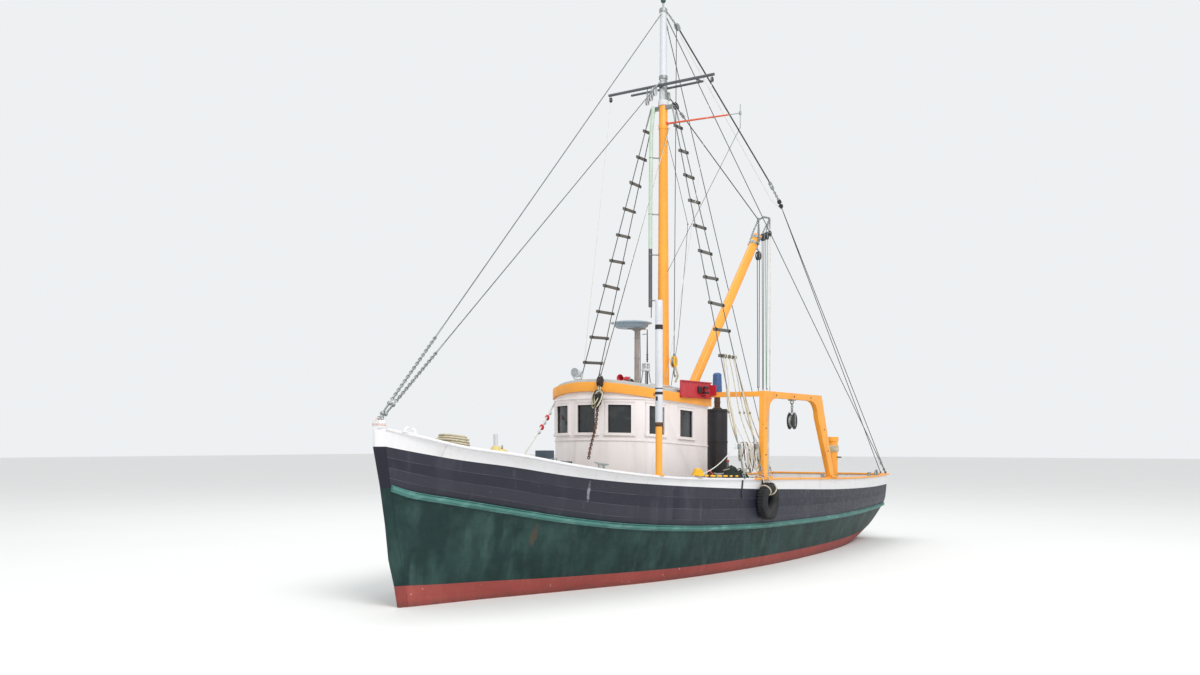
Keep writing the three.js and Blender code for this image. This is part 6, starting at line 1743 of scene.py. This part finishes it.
pile.tube([(0.85, 0.1, 3.95), (0.93, 0.1, 3.945), (1.0, 0.1, 3.93)], 0.0055)
for zz in (3.52, 3.56, 3.6):
    pile.ring((0.85, 0.1, zz), UP, 0.018, 0.004, 14, 6)
pile.piece("whip_post", black_iron, "wheelhouse_roof")
pile = Pile()
for sign in (1, -1):
    rail = []
    for x in (1.75, 1.35, 0.95, 0.55, 0.3):
        rail.append(vec(x, sign * 0.72, roof_z(x, 0.72) + 0.075))
    pile.tube([rail[0] - vec(-0.06, 0, 0.07)] + rail + [rail[-1] - vec(0.04, 0, 0.07)], 0.012, 10)
    for p in rail[1:-1]:
        pile.bar(p - vec(0, 0, 0.078), p, 0.009, sides=10)
pile.piece("roof_grab_rails", mast_white)
pile = Pile()
pile.lathe([(0.07, 0), (0.075, 0.006), (0.075, 0.03), (0.05, 0.034), (0, 0.034)],
           (0.78, -0.15, 4.03), UP, 24)
pile.tube([(0.725, -0.125, 4.02), (0.722, -0.12, 3.6), (0.722, -0.12, 3.1),
           (0.68, -0.1, roof_z(0.68, -0.1) + 0.006), (0.5, -0.1, roof_z(0.5, -0.1) + 0.007)], 0.006, 8, 1)
for z in (3.2, 3.55, 3.9):
    pile.ring((0.78, -0.15, z), UP, 0.048, 0.004, 18, 6)
for dx in (-0.06, 0.06):
    for dy in (-0.06, 0.06):
        pile.bolt((0.78 + dx, -0.15 + dy, roof_z(0.78, -0.15) + 0.022), UP, 0.01)
pile.piece("radar_cable_and_bolts", [galvanised, black_rope])
pile = Pile()
pile.lathe([(0.349, -0.001), (0.352, 0.001), (0.352, 0.011), (0.349, 0.013)], (0.89, -0.195, 4.143), UP, 56)
pile.piece("radome_seam", radome_blue)

# Sidelight boards: screen with a lip, the lamp on its shelf
for word, sign, paint, lens in (("port", 1, port_red, red_lens),
                                ("starboard", -1, starboard_green, green_lens)):
    pile = Pile()
    y1 = sign * 1.0233
    lo, hi = sorted((sign * 0.9953, y1))
    pile.box((0.29, lo, 2.845), (1.3, hi, 3.125), 0, 0.004)
    for z0, z1 in ((2.845, 2.865), (3.105, 3.125)):
        a, b = sorted((y1, y1 + sign * 0.02))
        pile.box((0.29, a, z0), (1.3, b, z1), 0, 0.003)
    a, b = sorted((y1, y1 + sign * 0.105))
    pile.box((0.29, a, 2.9), (0.31, b, 3.08), 0, 0.003)
    a, b = sorted((y1, y1 + sign * 0.1))
    pile.box((0.49, a, 2.9), (0.65, b, 2.918), 0, 0.003)
    middle = vec(0.57, y1 + sign * 0.056, 2.918)
    pile.lathe([(0, 0), (0.05, 0), (0.052, 0.008), (0.052, 0.028), (0.044, 0.034), (0, 0.034)],
               middle, UP, 24, 1)
    pile.lathe([(0.04, 0.03), (0.045, 0.045), (0.046, 0.075), (0.04, 0.095), (0.03, 0.1)],
               middle, UP, 24, 2)
    pile.lathe([(0.048, 0.092), (0.05, 0.1), (0.046, 0.116), (0.02, 0.132), (0, 0.134)], middle, UP, 24, 1)
    a, b = sorted((y1, y1 + sign * 0.035))
    pile.box((0.66, a, 2.93), (0.76, b, 3.04), 1, 0.006)
    for x in (0.36, 0.9, 1.24):
        pile.bolt((x, y1, 2.98), (0, sign, 0), 0.009, 3)
    pile.tube([(0.57, y1 + sign * 0.06, 2.918), (0.6, y1 + sign * 0.05, 2.89),
               (0.66, y1 + sign * 0.02, 2.88)], 0.005, 6, 1)
    pile.piece("sidelight_" + word, [paint, black_iron, lens, galvanised], "sidelight_board_" + word)

# The forward fall: a wire from the hounds to two blocks before the house, a hank of line and a chain tail
pile = Pile()
top, low = vec(0.12, 0.1, 7.62), vec(2.56, 0.3, 3.16)
pile.tube([top, low], 0.007, 6)
pile.tube([top + vec(0.02, 0.02, 0.0), low + vec(0.05, 0.02, 0.02)], 0.005, 6, 3)
pile.block(low + vec(0.02, 0, -0.1), (0.1, 0, -1), 0.17, 1, 2)
pile.block(low + vec(0.07, 0, -0.4), (0.05, 0, 1), 0.15, 1, 2)
for dy in (-0.02, 0.02):
    pile.tube([low + vec(0.02, dy, -0.1), low + vec(0.07, dy, -0.38)], 0.009, 8, 4)
for k in range(7):
    big, tip = random.uniform(0.1, 0.15), random.uniform(-0.4, 0.4)
    middle = low + vec(0.09 + random.uniform(-0.02, 0.03), random.uniform(-0.05, 0.05),
                       -0.36 + random.uniform(-0.03, 0.03))
    loop = [middle + vec(0.05 * cos(t + tip) + 0.02 * sin(2 * t), 0.065 * sin(t) * cos(tip),
                         -big * cos(t)) for t in circle(22)]
    pile.tube(loop, 0.009, 8, 4 if k % 3 else 5, closed=True)
for k in range(4):
    pile.ring(low + vec(0.09, 0, -0.3 - 0.018 * k), (0.05, 0, 1), 0.045, 0.009, 18, 8, 5)
pile.chain([low + vec(0.09, 0, -0.5), low + vec(0.14, 0, -0.8), vec(2.86, 0.3, 2.0), vec(2.9, 0.3, 1.86)],
           0.0085, 0.055, 2)
pile.piece("forward_fall", [dark_wire, black_iron, rusty, white_rope, hemp, black_rope])

# A line of small floats from the roof's corner down to the hatch
pile = Pile()
a, b = vec(2.05, -0.96, 2.78), vec(3.95, -0.42, hull_at(3.95, STRAKE).z + 0.05)
path = [a.lerp(b, t) - vec(0, 0, 0.05 * sin(pi * t)) for t in parts(16)]
pile.tube(path, 0.014)
pile.ring(b, ALONG, 0.024, 0.007, 14, 6, 3)
for i in (2, 3, 4, 5, 6):
    p = path[i]
    pile.ball(p - vec(0, 0, 0.02), 0.032 + 0.006 * (i % 2), 14, 1 + i % 2, 1.3)
pile.piece("float_line", [white_rope, mast_white, port_red, galvanised])

# White board across the port shrouds, with the same to starboard, and the white pole by the gallows
for word, sign in SIDES:
    pile = Pile()
    pile.box((-0.42, sign * 1.738 - 0.014, 2.0), (0.78, sign * 1.738 + 0.014, 2.1), 0, 0.005)
    for foot_x, head_x in zip(SHROUD_FEET, (MAST_X + 0.062, MAST_X - 0.062)):
        z = 2.05
        low_z = hull_at(foot_x, RAIL).z
        share = (z - low_z) / (HOUNDS - low_z)
        x = foot_x + (head_x - foot_x) * share
        pile.box((x - 0.03, sign * 1.757 - 0.012, 2.012), (x + 0.03, sign * 1.757 + 0.03, 2.088), 1, 0.003)
    pile.tube([(-0.38, sign * 1.738, 2.05), (-0.36, sign * 1.78, 1.56)], 0.012, 8, 1)
    pile.piece("shroud_board_" + word, [white_band, galvanised])
pile = Pile()
pile.bar((-0.62, 1.65, 0.93), (-0.56, 1.7, 2.78), 0.016, 0.014, 12)
pile.bar((-0.56, 1.7, 2.78), (-0.56, 1.7, 2.84), 0.02, 0.012, 12, 1)
pile.piece("white_pole", [mast_white, red_orange])

# Lines hung from the port ladder and over its board, and the rope that lies along the port rail
pile = Pile()
for rung_x, board_x, slack, mat in ((0.5, 0.66, 0.12, 0), (0.42, 0.4, 0.2, 1), (0.28, 0.2, 0.1, 0),
                                    (0.14, -0.08, 0.16, 1), (0.1, -0.2, 0.05, 0)):
    top, low = vec(rung_x, 1.372, 3.52), vec(board_x, 1.716, 2.1)
    run = [top.lerp(low, t) - vec(0.3 * slack * sin(2 * pi * t), 0.5 * slack * sin(pi * t), 0)
           for t in parts(14)]
    pile.tube(run, 0.0085, 8, mat)
    pile.ring(top + vec(0, 0, 0.028), ALONG, 0.034, 0.008, 14, 6, mat)
    pile.ball(run[9], 0.02, 10, mat, 1.3)
    pile.tube([low + vec(0, 0.05, -0.05), low + vec(0.03, 0.09, -0.28), low + vec(-0.02, 0.125, -0.5)],
              0.0085, 8, mat)
for k in range(13):
    across, deep = -0.16 + 0.065 * k + random.uniform(-0.02, 0.02), random.uniform(0.13, 0.27)
    loop = [vec(across + 0.035 * sin(t + k), 1.738 + 0.04 * sin(t), 2.112 - deep + deep * cos(t))
            for t in circle(22)]
    pile.tube(loop, 0.0085, 8, k % 3, closed=True)
pile.piece("hung_lines", [hemp, white_rope, rusty])

pile = Pile()
along = [hull_at(2.12 - 0.06 * i, RAIL) + vec(0, -0.02 + 0.012 * sin(1.7 * i), 0.03) for i in range(23)]
for i, (a, b) in enumerate(zip(along, along[1:])):
    pile.tube([a, b + (b - a) * 0.05], 0.014, 8, 0 if i % 3 else 1)
for k in range(5):
    middle = along[1] + vec(0.01 * k, 0.004 * k, 0.014 + 0.02 * k)
    pile.ring(middle, (0.1 * sin(k), 0.1 * cos(k), 1), 0.085 - 0.011 * k, 0.015, 24, 8)
lead = [along[2].lerp(vec(0.78, 1.738, 2.05), t) - vec(0, 0, 0.07 * sin(pi * t)) for t in parts(12)]
pile.tube(lead, 0.008, 8, 2)
pile.piece("rail_rope", [yellow, black_rope, white_rope])

# Nets heaped on the deck inside the port bulwark
pile = Pile()
for x, y, wide, tall in ((0.2, 1.36, 0.25, 0.8), (-0.2, 1.34, 0.24, 0.72), (0.02, 1.2, 0.2, 0.6)):
    pile.ball((x, y, 0.93), wide, 20, 0, tall / wide)
    for k in range(18):
        lift, turn = random.uniform(0.35, 0.97), random.uniform(0, 2 * pi)
        out = wide * sqrt(1 - lift * lift) + 0.008
        middle = vec(x + out * cos(turn), y + out * sin(turn), 0.93 + tall * lift)
        big, tip = random.uniform(0.05, 0.11), random.uniform(0, pi)
        loop = [middle + vec(big * cos(t), big * sin(t) * cos(tip), 0.5 * big * sin(t) * sin(tip))
                for t in circle(18)]
        pile.tube(loop, 0.0075, 6, 1 + k % 3, closed=True)
pile.piece("net_heap", [net_dark, black_rope, hemp, net_green])

# Signal halyards from blocks at the yard's ends, one to the starboard rail and one to the roof
pile = Pile()
for sign in (1, -1):
    pile.block((0.262, sign * 1.03, 8.27), DOWN, 0.09)
rail_foot = hull_at(0.3, RAIL)
pile.tube([(0.262, -1.03, 8.23), (0.3, -rail_foot.y + 0.03, rail_foot.z + 0.01)], 0.004, 6, 2)
pile.tube([(0.262, 1.03, 8.23), (0.29, 0.55, 5.2), (0.31, 0.16, 3.25)], 0.004, 6, 2)
pile.piece("signal_halyards", [black_iron, galvanised, white_rope])

# A hank of mooring rope coiled on the foredeck: layers that run out and in by turns, on the deck's slope
COIL = {"x": 5.9, "y": 0.15, "inner": 0.137, "outer": 0.284, "pitch": 0.0335, "thick": 0.03, "layers": 10}
coil_slope = atan2(hull_at(6.1, STRAKE).z - hull_at(5.7, STRAKE).z, 0.4)
coil_along = vec(cos(coil_slope), 0, sin(coil_slope))
coil_up = vec(-sin(coil_slope), 0, cos(coil_slope))
coil_foot = vec(COIL["x"], COIL["y"], hull_at(COIL["x"], STRAKE).z + 0.035)
coil_path = []
turned = 0.0
for layer in range(COIL["layers"]):
    reach = COIL["outer"] - 0.0155 * max(layer - 3, 0)
    turns = (reach - COIL["inner"]) / COIL["pitch"]
    steps = round(turns * 30)
    for i in range(steps + 1):
        share = i / steps if layer % 2 == 0 else 1 - i / steps
        angle = turned + 2 * pi * turns * i / steps
        rise = COIL["pitch"] * max(0.0, (i / steps * turns - turns + 0.25) / 0.25)
        wave = 0.005 * sin(2 * angle + 0.4 * layer) + 0.003 * sin(3 * angle)
        radius = COIL["inner"] + (reach - COIL["inner"]) * share + wave
        height = 0.02 + COIL["pitch"] * layer + (rise if layer < COIL["layers"] - 1 else 0)
        if i or not layer:
            coil_path.append(coil_foot + coil_along * radius * cos(angle) + vec(0, radius * sin(angle), 0)
                             + coil_up * height)
    turned += 2 * pi * turns
pile = Pile()
pile.tube(coil_path, COIL["thick"] / 2)
coil = pile.piece("rope_coil_turns", hemp, "rope_coil")

# Samson post: turns of mooring line and a small pale float beside it
pile = Pile()
POST_X = 4.78
for k in range(4):
    turn = []
    for t in circle(32):
        bulge = 1 + 0.16 * abs(sin(2 * t)) ** 2
        turn.append((POST_X + 0.094 * cos(t) * bulge, 0.094 * sin(t) * bulge,
                     1.915 + 0.021 * k + 0.003 * sin(t)))
    pile.tube(turn, 0.012, 8, 0, closed=True)
pile.piece("samson_post_turns", hemp)
pile = Pile()
fx, fy = 4.935, 0.24
fz = hull_at(fx, STRAKE).z + 0.035
pile.lathe([(0.0, 0.0), (0.06, 0.005), (0.12, 0.06), (0.14, 0.14), (0.13, 0.21), (0.08, 0.27),
            (0.03, 0.295), (0.0, 0.298)], (fx, fy, fz), UP, 28)
pile.bar((fx, fy, fz + 0.285), (fx, fy, fz + 0.315), 0.016, 0.014, 12, 1)
pile.ring((fx, fy, fz + 0.33), ACROSS, 0.016, 0.005, 14, 6, 1)
pile.piece("marker_float", [pale_yellow, timber])

# Inside the wheelhouse, seen through the glass: sole, console, wheel, seat
pile = Pile()
sole = 0.98
pile.box((0.34, -0.88, sole - 0.02), (2.0, 0.88, sole), 0, 0.003)
pile.box((1.72, -0.75, sole), (2.12, 0.75, 1.95), 0, 0.01)
pile.box((1.66, -0.78, 1.95), (2.2, 0.78, 1.985), 0, 0.006)
pile.box((1.9, 0.2, 1.985), (2.1, 0.52, 2.2), 1, 0.012)
pile.box((1.895, 0.225, 2.005), (1.9, 0.495, 2.18), 2, 0.001)
pile.box((1.88, -0.5, 1.985), (2.08, -0.24, 2.14), 1, 0.012)
wheel = vec(1.58, 0, 1.72)
pile.ring(wheel, ALONG, 0.26, 0.016, 34, 8, 3)
for t in circle(6):
    pile.tube([wheel, wheel + vec(0, 0.33 * cos(t), 0.33 * sin(t))], [0.012, 0.009], 8, 3)
pile.bar(wheel, wheel + vec(0.15, 0, 0), 0.035, sides=16, mat=3)
pile.box((0.75, 0.45, sole), (1.15, 0.85, 1.45), 0, 0.01)
pile.box((0.72, 0.42, 1.45), (1.18, 0.88, 1.53), 1, 0.02)
pile.box((2.2, 0.33, 2.02), (2.24, 0.4, 2.5), 4, 0.004)
pile.piece("wheelhouse_fittings", [lining, black_iron, clear_lens, timber, mast_white])

# Door handle and lock, the glass of the door and of the after window, and a rail beside the door
pile = Pile()
pile.tube([(0.28, -0.32, 1.62), (0.25, -0.32, 1.62), (0.235, -0.32, 1.6), (0.235, -0.32, 1.5),
           (0.25, -0.32, 1.48), (0.28, -0.32, 1.48)], 0.008)
pile.lathe([(0, 0), (0.03, 0), (0.03, 0.006), (0, 0.008)], (0.2817, -0.32, 1.4), (-1, 0, 0), 18)
pile.box((0.276, -0.7, 1.93), (0.283, -0.36, 1.95), 1, 0.001)
pile.piece("door_handle", [bronze, black_iron], body="house_door")
pile = Pile()
pile.box((0.3, -0.7, 1.95), (0.305, -0.38, 2.35), 0, 0.0005)
pile.piece("door_glass", pane, body="house_door")
pile = Pile()
pile.tube([(0.275, -0.19, 1.3), (0.21, -0.19, 1.32), (0.21, -0.19, 1.98), (0.275, -0.19, 2.0)], 0.013, 10)
pile.box((0.272, 0.22, 2.192), (0.281, 0.66, 2.206), 1, 0.002)
pile.piece("aft_wall_rail", [galvanised, house_white])
pile = Pile()
pile.box((0.3, 0.23, 2.21), (0.306, 0.65, 2.6), 0, 0.0005)
pile.piece("aft_window_glass", pane)
